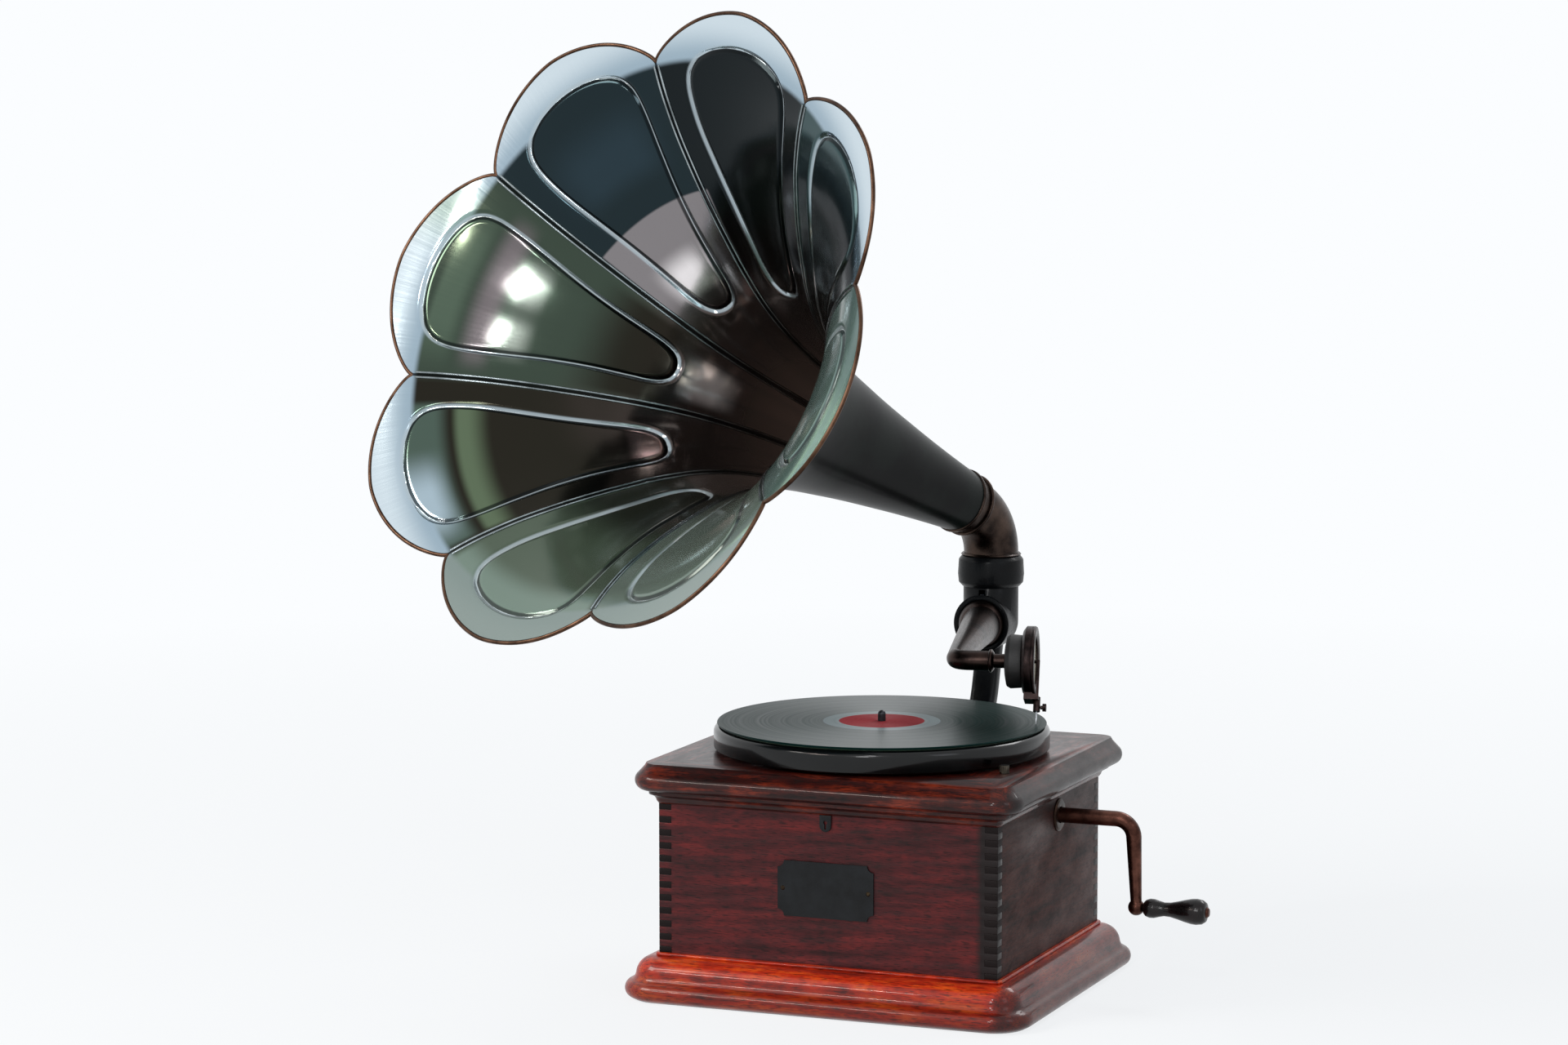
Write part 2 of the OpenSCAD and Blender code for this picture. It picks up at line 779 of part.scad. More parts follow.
// Top plate with two lugs for the speed lever's pin
module motor_top_plate() {
    color("#6f7275")
        difference() {
            union() {
                motor_plate(motor_top_z);
                at_lever()
                    for (y = [-lever_w / 2 - face_gap - lug_t, lever_w / 2 + face_gap])
                        translate([lever_len * lever_share - 5, y, -4])
                            cube([10, lug_t, motor_top_z - lever_z + 4 + lug_sink]);
            }
            at_lever()
                translate([lever_len * lever_share, -lever_w, lever_t / 2])
                    rotate([-90, 0, 0])
                        cylinder(r = lever_pin_r + run_gap, h = 2 * lever_w);
            translate([0, spindle_y, motor_top_z - 1])
                cylinder(r = bush_r + bolt_gap, h = motor_plate_t + 2);
            for (p = bolts_at)
                translate([p[0], p[1] + spindle_y, motor_top_z - 1])
                    cylinder(r = bolt_r + bolt_gap, h = motor_plate_t + 2);
        }
}

module motor_bottom_plate() {
    color("#6f7275")
        difference() {
            motor_plate(motor_low_z);
            translate([0, spindle_y, motor_low_z - 1])
                cylinder(r = spindle_r + run_gap, h = motor_plate_t + 2);
        }
}

// Four turned pillars with screwed ends
module motor_pillars() {
    color("#8a8c8e")
        for (p = pillars_at)
            translate([p[0], p[1], 0]) {
                translate([0, 0, motor_low_z + motor_plate_t])
                    cylinder(r = pillar_r, h = motor_top_z - motor_low_z - motor_plate_t);
                translate([0, 0, motor_low_z])
                    cylinder(r = 2.5, h = motor_top_z - motor_low_z + motor_plate_t);
                translate([0, 0, motor_low_z - 3])
                    cylinder(r = 5, h = 3);
            }
}

// Bolts that hang the motor from the lid
module motor_bolts() {
    color("#8a8c8e")
        for (p = bolts_at)
            translate([p[0], p[1] + spindle_y, 0]) {
                translate([0, 0, motor_top_z - 5])
                    cylinder(r = bolt_r, h = deck_z - motor_top_z + 5);
                translate([0, 0, deck_z])
                    cylinder(r1 = 5.5, r2 = 4, h = 2.2);
                translate([0, 0, motor_top_z - 4])
                    cylinder(r = 4.6, h = 4);
            }
}

// Hanger with a bearing for the crank's inner end
hanger_x = barrel_x + winding_pr + 12;
hanger_t = 8;
module crank_bearing() {
    color("#6f7275")
        difference() {
            union() {
                translate([hanger_x, crank_y - 14, crank_mid_z])
                    cube([hanger_t, 28, motor_top_z - crank_mid_z]);
                translate([hanger_x, crank_y, crank_mid_z])
                    rotate([0, 90, 0])
                        cylinder(r = 14, h = hanger_t);
            }
            translate([hanger_x - 1, crank_y, crank_mid_z])
                rotate([0, 90, 0])
                    cylinder(r = crank_r + run_gap, h = hanger_t + 2);
        }
}

// Bush that carries the spindle through lid and plate
bush_r = 8;
module spindle_bush() {
    color("#b08d4a")
        difference() {
            union() {
                translate([0, spindle_y, motor_top_z])
                    cylinder(r = bush_r, h = deck_z - motor_top_z);
                translate([0, spindle_y, deck_z])
                    cylinder(r = bush_r + 4, h = 2);
            }
            translate([0, spindle_y, motor_top_z - 1])
                cylinder(r = spindle_r + run_gap, h = deck_z - motor_top_z + 4);
        }
}

// Spindle with its pinion, its lower wheel and a tip for the record
module spindle() {
    color("#9a9c9e")
        translate([0, spindle_y, 0]) {
            translate([0, 0, motor_low_z])
                cylinder(r = spindle_r, h = felt_z - platter_plate_t - motor_low_z);
            translate([0, 0, felt_z - platter_plate_t - 1])
                cylinder(r = tip_r, h = record_top + tip_rise - felt_z + platter_plate_t + 1 - tip_r);
            translate([0, 0, record_top + tip_rise - tip_r])
                sphere(r = tip_r);
            translate([0, 0, train_z])
                gear(spindle_teeth, train_m, pinion_long, angle_spindle_middle);
            translate([0, 0, drive_z])
                gear(drive_teeth, governor_m, gear_t, governor_dir);
        }
}

// Pressed platter with a rolled rim, open below
module platter() {
    r = platter_r;
    t = platter_plate_t;
    w = platter_wall;
    h = platter_h;
    color("#1a1c1e")
        translate([0, spindle_y, platter_z])
            rotate_extrude($fn = 128)
                polygon(concat(
                    [[tip_r + run_gap, h], [r - platter_round, h]],
                    arc(r - platter_round, h - platter_round, platter_round, 80, 10, 6),
                    [[r, h - platter_round], [r, 1]],
                    [[r - 1, 0], [r - w, 0], [r - w, h - platter_round]],
                    arc(r - platter_round, h - platter_round, platter_round - w, 10, 80, 4),
                    [[r - platter_round, h - t], [hub_r, h - t], [hub_r, h - hub_h]],
                    [[spindle_r + run_gap, h - hub_h], [spindle_r + run_gap, h - t]],
                    [[tip_r + run_gap, h - t]]
                ));
}

module platter_felt() {
    color("#23402c")
        translate([0, spindle_y, felt_z])
            difference() {
                cylinder(r = felt_r, h = felt_t, $fn = 128);
                translate([0, 0, -1])
                    cylinder(r = tip_r + run_gap, h = felt_t + 2);
            }
}

module record() {
    color("#0c0e10")
        translate([0, spindle_y, record_z])
            rotate_extrude($fn = 128)
                polygon([
                    [tip_r + run_gap, 0], [record_r - 0.6, 0], [record_r, record_t / 2],
                    [record_r - 0.6, record_t], [tip_r + run_gap, record_t]
                ]);
}

// Shaft with a wheel and a pinion between spindle and barrel
module intermediate_gear() {
    color("#b08d4a")
        translate([middle_at[0], middle_at[1], 0]) {
            translate([0, 0, motor_low_z])
                cylinder(r = shaft_r, h = motor_top_z - motor_low_z + motor_plate_t - 1);
            translate([0, 0, train_z + 2])
                gear(wheel_teeth, train_m, gear_t, angle_spindle_middle + 180 + 180 / wheel_teeth);
            translate([0, 0, barrel_gear_z - 2])
                gear(pinion_teeth, train_m, pinion_long, angle_middle_barrel);
        }
}

// Drum with its gear, bored for the arbor
barrel_wall = 2.5;
arbor_r = 5;
module spring_barrel() {
    color("#a5843f")
        translate([barrel_at[0], barrel_at[1], barrel_z])
            difference() {
                union() {
                    cylinder(r = barrel_r, h = barrel_h);
                    translate([0, 0, barrel_h])
                        gear(barrel_teeth, train_m, barrel_gear_t,
                            angle_middle_barrel + 180 + 180 / barrel_teeth);
                }
                translate([0, 0, barrel_wall])
                    cylinder(r = barrel_r - barrel_wall, h = barrel_h - barrel_wall);
                translate([0, 0, -1])
                    cylinder(r = arbor_r + run_gap, h = barrel_h + barrel_gear_t + 2);
            }
}

// Coiled ribbon inside the barrel, one turn inside the next
spring_turns = 4;
spring_steps = 14;
spring_t = 1.2;
function spring_side(out) =
    [for (i = [0:spring_turns * spring_steps])
        let (
            s = i / (spring_turns * spring_steps),
            r = arbor_r + 6 + s * (barrel_r - barrel_wall - arbor_r - 7.6 - spring_t) + out,
            a = 360 * i / spring_steps
        )
        [r * cos(a), r * sin(a)]];
module mainspring() {
    inner = spring_side(0);
    outer = spring_side(spring_t);
    last = len(inner) - 1;
    color("#4c4f55")
        translate([barrel_at[0], barrel_at[1], barrel_z + barrel_wall])
            linear_extrude(height = barrel_h - 2 * barrel_wall)
                polygon(concat(inner, [for (i = [last:-1:0]) outer[i]]));
}

// Arbor with a wheel whose teeth stand up to meet the crank's pinion
winding_z = crank_mid_z - crank_pr;
module winding_wheel() {
    tooth_w = winding_pr * 2 * PI / winding_teeth * 0.3;
    tooth_in = 2;
    tooth_out = 3;
    tooth_top = winding_z + 0.6 * train_m;
    disc_low = barrel_gear_z + barrel_gear_t + face_gap;
    disc_top = winding_z - 1.15 * train_m - 0.6;
    color("#b08d4a")
        translate([barrel_at[0], barrel_at[1], 0]) {
            translate([0, 0, motor_low_z])
                cylinder(r = shaft_r, h = motor_top_z - motor_low_z + motor_plate_t - 1);
            translate([0, 0, barrel_z - 2])
                cylinder(r = arbor_r, h = disc_low - barrel_z + 3);
            translate([0, 0, disc_low])
                cylinder(r = winding_pr + tooth_out, h = disc_top - disc_low);
            for (i = [0:winding_teeth - 1])
                rotate([0, 0, (i + 0.5) * 360 / winding_teeth])
                    translate([winding_pr - tooth_in, -tooth_w / 2, disc_top - 0.5])
                        cube([tooth_in + tooth_out, tooth_w, tooth_top - disc_top + 0.5]);
        }
}

// Governor shaft with its pinion, collars and friction disc
module governor_shaft() {
    color("#9a9c9e")
        translate([governor_at[0], governor_at[1], 0]) {
            translate([0, 0, motor_low_z])
                cylinder(r = shaft_r, h = motor_top_z - motor_low_z + motor_plate_t - 1);
            translate([0, 0, drive_z - 2])
                gear(governor_teeth, governor_m, pinion_long,
                    governor_dir + 180 + 180 / governor_teeth);
            translate([0, 0, drive_z + 10])
                cylinder(r = 6, h = 5);
            translate([0, 0, disc_z])
                cylinder(r = disc_r, h = disc_t);
            translate([0, 0, disc_z - 5])
                cylinder(r = 6, h = 5);
        }
}

// Three weights on flat springs between the collars
weight_r = 4;
weight_out = 11.5;
module governor_weights() {
    low = drive_z + 15;
    high = disc_z - 5;
    mid = (low + high) / 2;
    color("#b08d4a")
        translate([governor_at[0], governor_at[1], 0])
            for (i = [0:2])
                rotate([0, 0, 120 * i]) {
                    translate([weight_out, 0, mid])
                        sphere(r = weight_r, $fn = 32);
                    rotate([90, 0, 0])
                        translate([0, 0, -2])
                            linear_extrude(height = 4)
                                polygon([
                                    [4, low], [5, low], [weight_out - 2, mid - 3],
                                    [weight_out - 2, mid + 3], [5, high], [4, high],
                                    [weight_out - 3, mid + 3], [weight_out - 3, mid - 3]
                                ]);
                }
}

// Milled knob on the deck, with its shaft down to the lever
module speed_knob() {
    color("#8c8f92")
        translate([knob_at[0], knob_at[1], 0]) {
            translate([0, 0, lever_z + lever_t + face_gap])
                cylinder(r = knob_shaft_r, h = deck_z - lever_z - lever_t);
            difference() {
                translate([0, 0, deck_z + face_gap])
                    cylinder(r = knob_r, h = knob_h);
                for (i = [0:11])
                    rotate([0, 0, 30 * i])
                        translate([knob_r + 0.5, 0, deck_z + 1.5])
                            cylinder(r = 0.9, h = knob_h, $fn = 16);
            }
        }
}

// Lever from the knob to a pad over the governor's disc, on a cross pin
module speed_lever() {
    pin_len = lever_w + 2 * (face_gap + lug_t);
    color("#7c7f82")
        at_lever() {
            translate([-lever_past, -lever_w / 2, 0])
                cube([lever_len + lever_past, lever_w, lever_t]);
            translate([lever_len, 0, pad_low])
                cylinder(r = pad_r, h = lever_t - pad_low);
            translate([lever_len * lever_share, -pin_len / 2, lever_t / 2])
                rotate([-90, 0, 0])
                    cylinder(r = lever_pin_r, h = pin_len);
        }
}

// Winding crank: straight shaft, bend and tapered arm with a round end
crank_bend = 16;
module crank_rod() {
    arm_x = side_x + crank_out;
    inner_x = barrel_x + winding_pr - 4;
    color("#3a2a20")
        translate([0, crank_y, crank_mid_z])
            rotate([crank_turn, 0, 0]) {
                translate([inner_x, 0, 0])
                    rotate([0, 90, 0])
                        cylinder(r = 4.5, h = hanger_x - 2 - inner_x);
                translate([hanger_x - 2, 0, 0])
                    rotate([0, 90, 0])
                        cylinder(r = crank_r, h = arm_x - crank_bend - hanger_x + 2);
                translate([arm_x - crank_bend, 0, -crank_bend])
                    rotate([90, 0, 0])
                        rotate_extrude(angle = 90)
                            translate([crank_bend, 0])
                                circle(r = crank_r);
                translate([arm_x, 0, -crank_throw])
                    cylinder(r1 = crank_end_r, r2 = crank_r, h = crank_throw - crank_bend);
                translate([arm_x, 0, -crank_throw])
                    sphere(r = crank_end_r + 2.6);
                translate([arm_x, 0, -crank_throw])
                    rotate([0, 90, 0])
                        cylinder(r = handle_pin_r, h = handle_len + 8.5);
                translate([arm_x + handle_len + 7.5, 0, -crank_throw])
                    rotate([0, 90, 0])
                        cylinder(r1 = 5, r2 = 3.6, h = 1.8);
            }
}

// Pinion on the crank's inner end
module crank_pinion() {
    color("#b08d4a")
        translate([barrel_x + winding_pr - 4.2, crank_y, crank_mid_z])
            rotate([crank_turn, 0, 0])
                rotate([0, 90, 0])
                    difference() {
                        gear(crank_teeth, train_m, 8.4, -crank_turn);
                        translate([0, 0, -1])
                            cylinder(r = 4.5, h = 10.4);
                    }
}

// Turned handle: small bulge, waist, big bulge
module crank_handle() {
    l = handle_len;
    r = handle_r;
    outline = [
        [0.49, 0], [0.64, 0.03], [0.74, 0.09], [0.73, 0.16], [0.62, 0.24], [0.53, 0.32],
        [0.56, 0.42], [0.70, 0.54], [0.86, 0.66], [0.97, 0.76], [1, 0.84], [0.93, 0.93],
        [0.74, 0.985], [0.5, 1]
    ];
    color("#17110f")
        translate([side_x + crank_out, crank_y, crank_mid_z])
            rotate([crank_turn, 0, 0])
                translate([crank_end_r + 2.6, 0, -crank_throw])
                    rotate([0, 90, 0])
                        rotate_extrude()
                            polygon(concat(
                                [[handle_pin_r + run_gap, -0.3 + face_gap]],
                                [for (p = outline) [p[0] * r, p[1] * (l - 0.6) + face_gap]],
                                [[handle_pin_r + run_gap, l - 0.6 + face_gap]]
                            ));
}

// Place a piece in the tone arm's own frame: the arm runs along -Y
module at_arm() {
    translate([0, pivot_y, arm_mid_z])
        rotate([0, 0, arm_yaw])
            children();
}

// Tapered tube with a ball at its pivot end and a bend at the other
module tonearm_tube() {
    straight = arm_len - arm_bend_r;
    w = arm_wall;
    color("#5a4a3c")
        at_arm()
            difference() {
                union() {
                    difference() {
                        sphere(r = ball_r);
                        sphere(r = ball_inner_r);
                        translate([-40, 13, -40])
                            cube([80, 40, 80]);
                    }
                    translate([0, -ball_inner_r + 6, 0])
                        rotate([90, 0, 0])
                            cylinder(r1 = arm_r, r2 = arm_end_r, h = straight - ball_inner_r + 6);
                    translate([arm_bend_r, -straight, 0])
                        rotate([0, 0, 180])
                            rotate_extrude(angle = 90)
                                translate([arm_bend_r, 0])
                                    circle(r = arm_end_r);
                    translate([arm_bend_r, -arm_len, 0])
                        rotate([0, 90, 0])
                            cylinder(r = arm_end_r, h = stub_x - arm_bend_r);
                    translate([stub_x - 1, -arm_len, 0])
                        rotate([0, 90, 0])
                            cylinder(r = neck_r, h = shell_x - stub_x);
                }
                translate([0, -ball_inner_r + 7, 0])
                    rotate([90, 0, 0])
                        cylinder(r1 = arm_r - w, r2 = arm_end_r - w, h = straight - ball_inner_r + 5);
                translate([arm_bend_r, -straight, 0])
                    rotate([0, 0, 180])
                        rotate_extrude(angle = 90)
                            translate([arm_bend_r, 0])
                                circle(r = arm_end_r - w);
                translate([0, -straight + 0.5, 0])
                    rotate([90, 0, 0])
                        cylinder(r = arm_end_r - w, h = 0.5);
                translate([arm_bend_r, -arm_len, 0])
                    rotate([0, 90, 0])
                        cylinder(r = arm_end_r - w, h = stub_x - arm_bend_r - w);
                translate([stub_x - 3, -arm_len, 0])
                    rotate([0, 90, 0])
                        cylinder(r = neck_r - w, h = shell_x - stub_x + 4);
                for (z = [-1, 1])
                    translate([0, 0, z * ball_r - 4])
                        cylinder(r = pivot_pin_r + run_gap, h = 8);
            }
}

// Beaded collar on the tone arm's stub
module tonearm_collar() {
    color("#5a4a3c")
        at_arm()
            translate([stub_x, -arm_len, 0])
                rotate([0, 90, 0])
                    rotate_extrude()
                        polygon(concat(
                            [[neck_r, 0], [arm_end_r, 0]],
                            arc(arm_end_r, 2, 1.6, -80, 80, 6),
                            [[arm_end_r, 4], [neck_r + 1, 5], [neck_r, 5]]
                        ));
}

// Place a piece on the sound box's axis, needle side turned by the lean
module at_box() {
    at_arm()
        translate([0, -arm_len, 0])
            rotate([-needle_lean, 0, 0])
                children();
}

module rubber_flange() {
    color("#1c1a19")
        at_box()
            rotate([0, 90, 0])
                rotate_extrude()
                    polygon([
                        [neck_r + run_gap, flange_x], [flange_r * 0.62, flange_x],
                        [flange_r * 0.92, flange_x + 1.6], [flange_r, flange_x + 5],
                        [flange_r - 0.8, shell_x - 1], [flange_r - 3, shell_x],
                        [neck_r + run_gap, shell_x]
                    ]);
}

// Cup of the sound box, open towards the diaphragm
module soundbox_shell() {
    cup = bezel_x - shell_x;
    color("#2e2a28")
        at_box()
            translate([shell_x, 0, 0])
                rotate([0, 90, 0])
                    rotate_extrude($fn = 96)
                        polygon([
                            [neck_r - arm_wall, 0], [box_r - 4, 0], [box_r, 3],
                            [box_r, cup], [bezel_r, cup], [bezel_r, cup - 2.4],
                            [neck_r + 6, 2.2], [neck_r - arm_wall, 2.2]
                        ]);
}

// Front ring that clamps the diaphragm
module soundbox_bezel() {
    color("#3a3430")
        at_box()
            translate([bezel_x, 0, 0])
                rotate([0, 90, 0])
                    rotate_extrude($fn = 96)
                        polygon([
                            [bezel_r, 0], [box_r, 0], [box_r, bezel_t * 0.6],
                            [box_r - 1, bezel_t], [box_r - 5.5, bezel_t],
                            [bezel_r - 4, bezel_t * 0.6], [bezel_r - 4, 0.6], [bezel_r, 0.6]
                        ]);
}

module diaphragm() {
    color("#b9b4a4")
        at_box()
            translate([bezel_x - 0.2, 0, 0])
                rotate([0, 90, 0])
                    cylinder(r = bezel_r, h = 0.8, $fn = 96);
}

// Lugs on the rim that carry the stylus bar's pivot
mount_r = box_r + 5;
mount_w = 18;
module stylus_mount() {
    color("#2e2a28")
        at_box()
            difference() {
                union() {
                    translate([shell_x + 2, -mount_w / 2, -mount_r])
                        cube([box_t - 4, mount_w, mount_r - box_r + 2.5]);
                    for (y = [-1, 1])
                        translate([face_x - 2.5, y * (mount_w / 2 - 2) - 2, -mount_r])
                            cube([6, 4, mount_r - box_r]);
                }
                translate([0, 0, 0])
                    rotate([0, 90, 0])
                        cylinder(r = box_r, h = shell_x + box_t, $fn = 96);
                translate([bar_x, -mount_w, -mount_r + 2.5])
                    rotate([-90, 0, 0])
                        cylinder(r = 1.2 + run_gap, h = 2 * mount_w);
            }
}

// Bar from the diaphragm's middle over the pivot to the needle's chuck
chuck_r = 3.2;
chuck_len = 12;
module stylus_bar() {
    z_pivot = -mount_r + 2.5;
    color("#3a3430")
        at_box()
            difference() {
                union() {
                    translate([face_x - bezel_t - 0.3 + 1.2, 0, 0])
                        rotate([0, 90, 0])
                            cylinder(r = 1.6, h = bar_x - face_x + bezel_t - 0.9 + bar_t / 2);
                    translate([bar_x - bar_t / 2, -1.5, z_pivot])
                        cube([bar_t, 3, -z_pivot + 1.5]);
                    translate([bar_x, -mount_w / 2, z_pivot])
                        rotate([-90, 0, 0])
                            cylinder(r = 1.2, h = mount_w);
                    translate([bar_x, 0, z_pivot - chuck_len])
                        cylinder(r = chuck_r, h = chuck_len + 1.5);
                    translate([bar_x, -4, z_pivot])
                        rotate([-90, 0, 0])
                            cylinder(r = 2.6, h = 8);
                }
                translate([bar_x, 0, z_pivot - chuck_len - 1])
                    cylinder(r = needle_r, h = chuck_len);
                translate([bar_x, 0, z_pivot - chuck_len + 4])
                    rotate([0, 90, 0])
                        cylinder(r = 1 + run_gap, h = 10);
            }
}

// Steel needle, its point just over the groove
needle_tip = 5;
module needle() {
    z_top = -mount_r + 2.5 - 2;
    length = needle_drop + z_top;
    color("#a9abad")
        at_box()
            translate([bar_x, 0, z_top]) {
                translate([0, 0, -length + needle_tip])
                    cylinder(r = needle_r, h = length - needle_tip);
                translate([0, 0, -length])
                    cylinder(r1 = 0.15, r2 = needle_r, h = needle_tip);
            }
}

// Thumb screw that clamps the needle
module needle_screw() {
    z = -mount_r + 2.5 - chuck_len + 4;
    color("#3a3430")
        at_box()
            translate([bar_x, 0, z])
                rotate([0, 90, 0]) {
                    translate([0, 0, needle_r + 0.1])
                        cylinder(r = 1, h = 7);
                    translate([0, 0, chuck_r + face_gap])
                        cylinder(r = 1.8, h = 2.2);
                    difference() {
                        translate([0, 0, chuck_r + 2.2])
                            cylinder(r = 3.6, h = 3.4);
                        for (i = [0:9])
                            rotate([0, 0, 36 * i])
                                translate([3.9, 0, chuck_r + 2])
                                    cylinder(r = 0.7, h = 4, $fn = 16);
                    }
                }
}

// Place a piece in the elbow's frame: the horn leans towards -Y
module at_elbow() {
    translate([0, socket_y, horn_z])
        rotate([0, 0, -horn_yaw])
            children();
}

// Place a piece in the horn's frame: its axis is +Z, from the throat
module at_throat() {
    at_elbow()
        translate([0, throat_y, throat_z])
            rotate([elbow_turn, 0, 0])
                children();
}

// Bent tube with a spigot, a bead and a flared end
module horn_elbow() {
    in_r = elbow_r - elbow_wall;
    color("#4f4238")
        at_elbow() {
            translate([0, 0, -spigot_len])
                rotate_extrude()
                    polygon([
                        [spigot_r - 2, 0], [spigot_r, 0], [spigot_r, spigot_len - 2.4 + face_gap],
                        [elbow_r + 2.2, spigot_len - 2.4 + face_gap],
                        [elbow_r + 2.8, spigot_len - 1.2], [elbow_r + 1.6, spigot_len],
                        [elbow_r, spigot_len], [in_r, spigot_len], [spigot_r - 2, spigot_len - 3]
                    ]);
            translate([0, -elbow_bend_r, 0])
                rotate([90, 0, 90])
                    rotate_extrude(angle = elbow_turn)
                        translate([elbow_bend_r, 0])
                            difference() {
                                circle(r = elbow_r);
                                circle(r = in_r);
                            }
        }
}

// Sleeve with two beads that joins horn and elbow
module throat_sleeve() {
    color("#4a4036")
        at_throat()
            rotate_extrude()
                polygon(concat(
                    [[elbow_r - elbow_wall, 0], [throat_r - 0.5, 0]],
                    arc(throat_r + 0.6, 1.8, 1.8, -90, 90, 6),
                    [[throat_r - 0.4, 3.6], [throat_r + 0.6, sleeve_len - 4]],
                    arc(throat_r + 1.4, sleeve_len - 2, 2, -90, 90, 6),
                    [[throat_r - 1.2, sleeve_len], [elbow_r - elbow_wall, sleeve_len]]
                ));
}

// One petal: thin sheet between two seams, from the sleeve to the rim
module petal(k) {
    rows = len(flare);
    cols = petal_cells + 1;
    inner = [for (i = [0:rows - 1], j = [0:petal_cells]) petal_point(i, j / petal_cells, k, 0)];
    outer = [for (i = [0:rows - 1], j = [0:petal_cells]) petal_point(i, j / petal_cells, k, sheet_t)];
    n = rows * cols;
    sides = [for (i = [0:rows - 2], s = [0, 1], h = [0, 1])
        let (
            a = i * cols + (s == 0 ? 0 : cols - 1),
            b = a + cols,
            f = h == 0 ? [a, b, b + n] : [a, b + n, a + n]
        )
        s == 0 ? [f[2], f[1], f[0]] : f];
    ends = [for (j = [0:cols - 2], s = [0, 1], h = [0, 1])
        let (
            a = (s == 0 ? 0 : (rows - 1) * cols) + j,
            b = a + 1,
            f = h == 0 ? [a, b, b + n] : [a, b + n, a + n]
        )
        s == 0 ? f : [f[2], f[1], f[0]]];
    color("#6e6f63")
        at_throat()
            polyhedron(
                points = concat(inner, outer),
                faces = concat(
                    grid_faces(rows, cols, 0, false), grid_faces(rows, cols, n, true), sides, ends
                )
            );
}

// The petals start where the sleeve ends
function petal_point(i, t, k, d) =
    i == 0 ? let (p = bell_point(0, t, k, d)) [p[0], p[1], sleeve_len] : bell_point(i, t, k, d);

// Strip sections that follow a seam or the rim
function section_faces(rings, sides, closed) = let (
        wrap = rings * sides,
        last = closed ? rings - 1 : rings - 2
    )
    [for (i = [0:last], j = [0:sides - 1], h = [0, 1])
        let (
            a = i * sides + j,
            b = i * sides + (j + 1) % sides,
            c = (a + sides) % wrap,
            d = (b + sides) % wrap
        )
        h == 0 ? [a, b, d] : [a, d, c]];

// Folded seam strips on the outside, one behind each joint of two petals
seam_w = 5;
seam_h = 1.6;
module horn_seams() {
    rows = len(flare);
    color("#5c5d53")
        at_throat()
            for (k = [0:petal_count - 1])
                polyhedron(
                    points = [for (i = [0:rows - 1], c = [0:3]) seam_point(i, k, c)],
                    faces = concat(
                        section_faces(rows, 4, false),
                        [[3, 2, 1, 0], [for (c = [0:3]) (rows - 1) * 4 + c]]
                    )
                );
}

// Corner c of the seam's section at station i
function seam_point(i, k, c) = let (
        d = sheet_t + (c == 0 || c == 3 ? 0.02 : seam_h),
        side = (c < 2 ? -1 : 1) * seam_w / 2 * (c == 0 || c == 3 ? 1 : 0.6),
        a = seam_turn + k * petal_angle,
        p = petal_point(i, 0, k, d)
    )
    [p[0] - side * sin(a), p[1] + side * cos(a), p[2] - (i == rows_last() ? 3 : 0)];
function rows_last() = len(flare) - 1;

// Rolled edge along the rim of every petal
rim_steps = 10;
rim_sides = 6;
module rim_wire() {
    total = petal_count * rim_steps;
    color("#5a4a3c")
        at_throat()
            polyhedron(
                points = [for (i = [0:total - 1], c = [0:rim_sides - 1]) rim_point(i, c)],
                faces = section_faces(total, rim_sides, true)
            );
}

// Middle of the rolled edge at step i
function rim_middle(i) = let (
        k = floor(i / rim_steps),
        t = (i - k * rim_steps) / rim_steps,
        p = bell_point(rows_last(), t, k, sheet_t / 2),
        l = norm([p[0], p[1]])
    )
    [p[0] * (1 + wire_r / l), p[1] * (1 + wire_r / l), p[2] + wire_r * 0.35];

function rim_point(i, c) = let (
        total = petal_count * rim_steps,
        p = rim_middle(i),
        a = rim_middle((i + 1) % total) - rim_middle((i + total - 1) % total),
        along = a / norm(a),
        out = [p[0], p[1], 0] / norm([p[0], p[1]]),
        side = cross(along, out) / norm(cross(along, out)),
        up = cross(side, along),
        w = 360 * c / rim_sides
    )
    p + wire_r * (cos(w) * up + sin(w) * side);

front_panel();
back_panel();
left_panel();
right_panel();
bottom_board();
base_moulding();
cove_moulding();
lid_board();
nameplate();
nameplate_pins();
lid_catch();
crank_escutcheon();
horn_bracket();
bracket_screws();
swivel_collar();
pivot_screws();
motor_top_plate();
motor_bottom_plate();
motor_pillars();
motor_bolts();
crank_bearing();
spindle_bush();
spindle();
platter();
platter_felt();
record();
intermediate_gear();
spring_barrel();
mainspring();
winding_wheel();
governor_shaft();
governor_weights();
speed_knob();
speed_lever();
crank_rod();
crank_pinion();
crank_handle();
tonearm_tube();
tonearm_collar();
rubber_flange();
soundbox_shell();
soundbox_bezel();
diaphragm();
stylus_mount();
stylus_bar();
needle();
needle_screw();
horn_elbow();
throat_sleeve();
petal(0);  // petal_1
petal(1);  // petal_2
petal(2);  // petal_3
petal(3);  // petal_4
petal(4);  // petal_5
petal(5);  // petal_6
petal(6);  // petal_7
petal(7);  // petal_8
horn_seams();
rim_wire();
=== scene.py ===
import math

import bmesh
import bpy
import numpy as np
from mathutils import Matrix, Vector


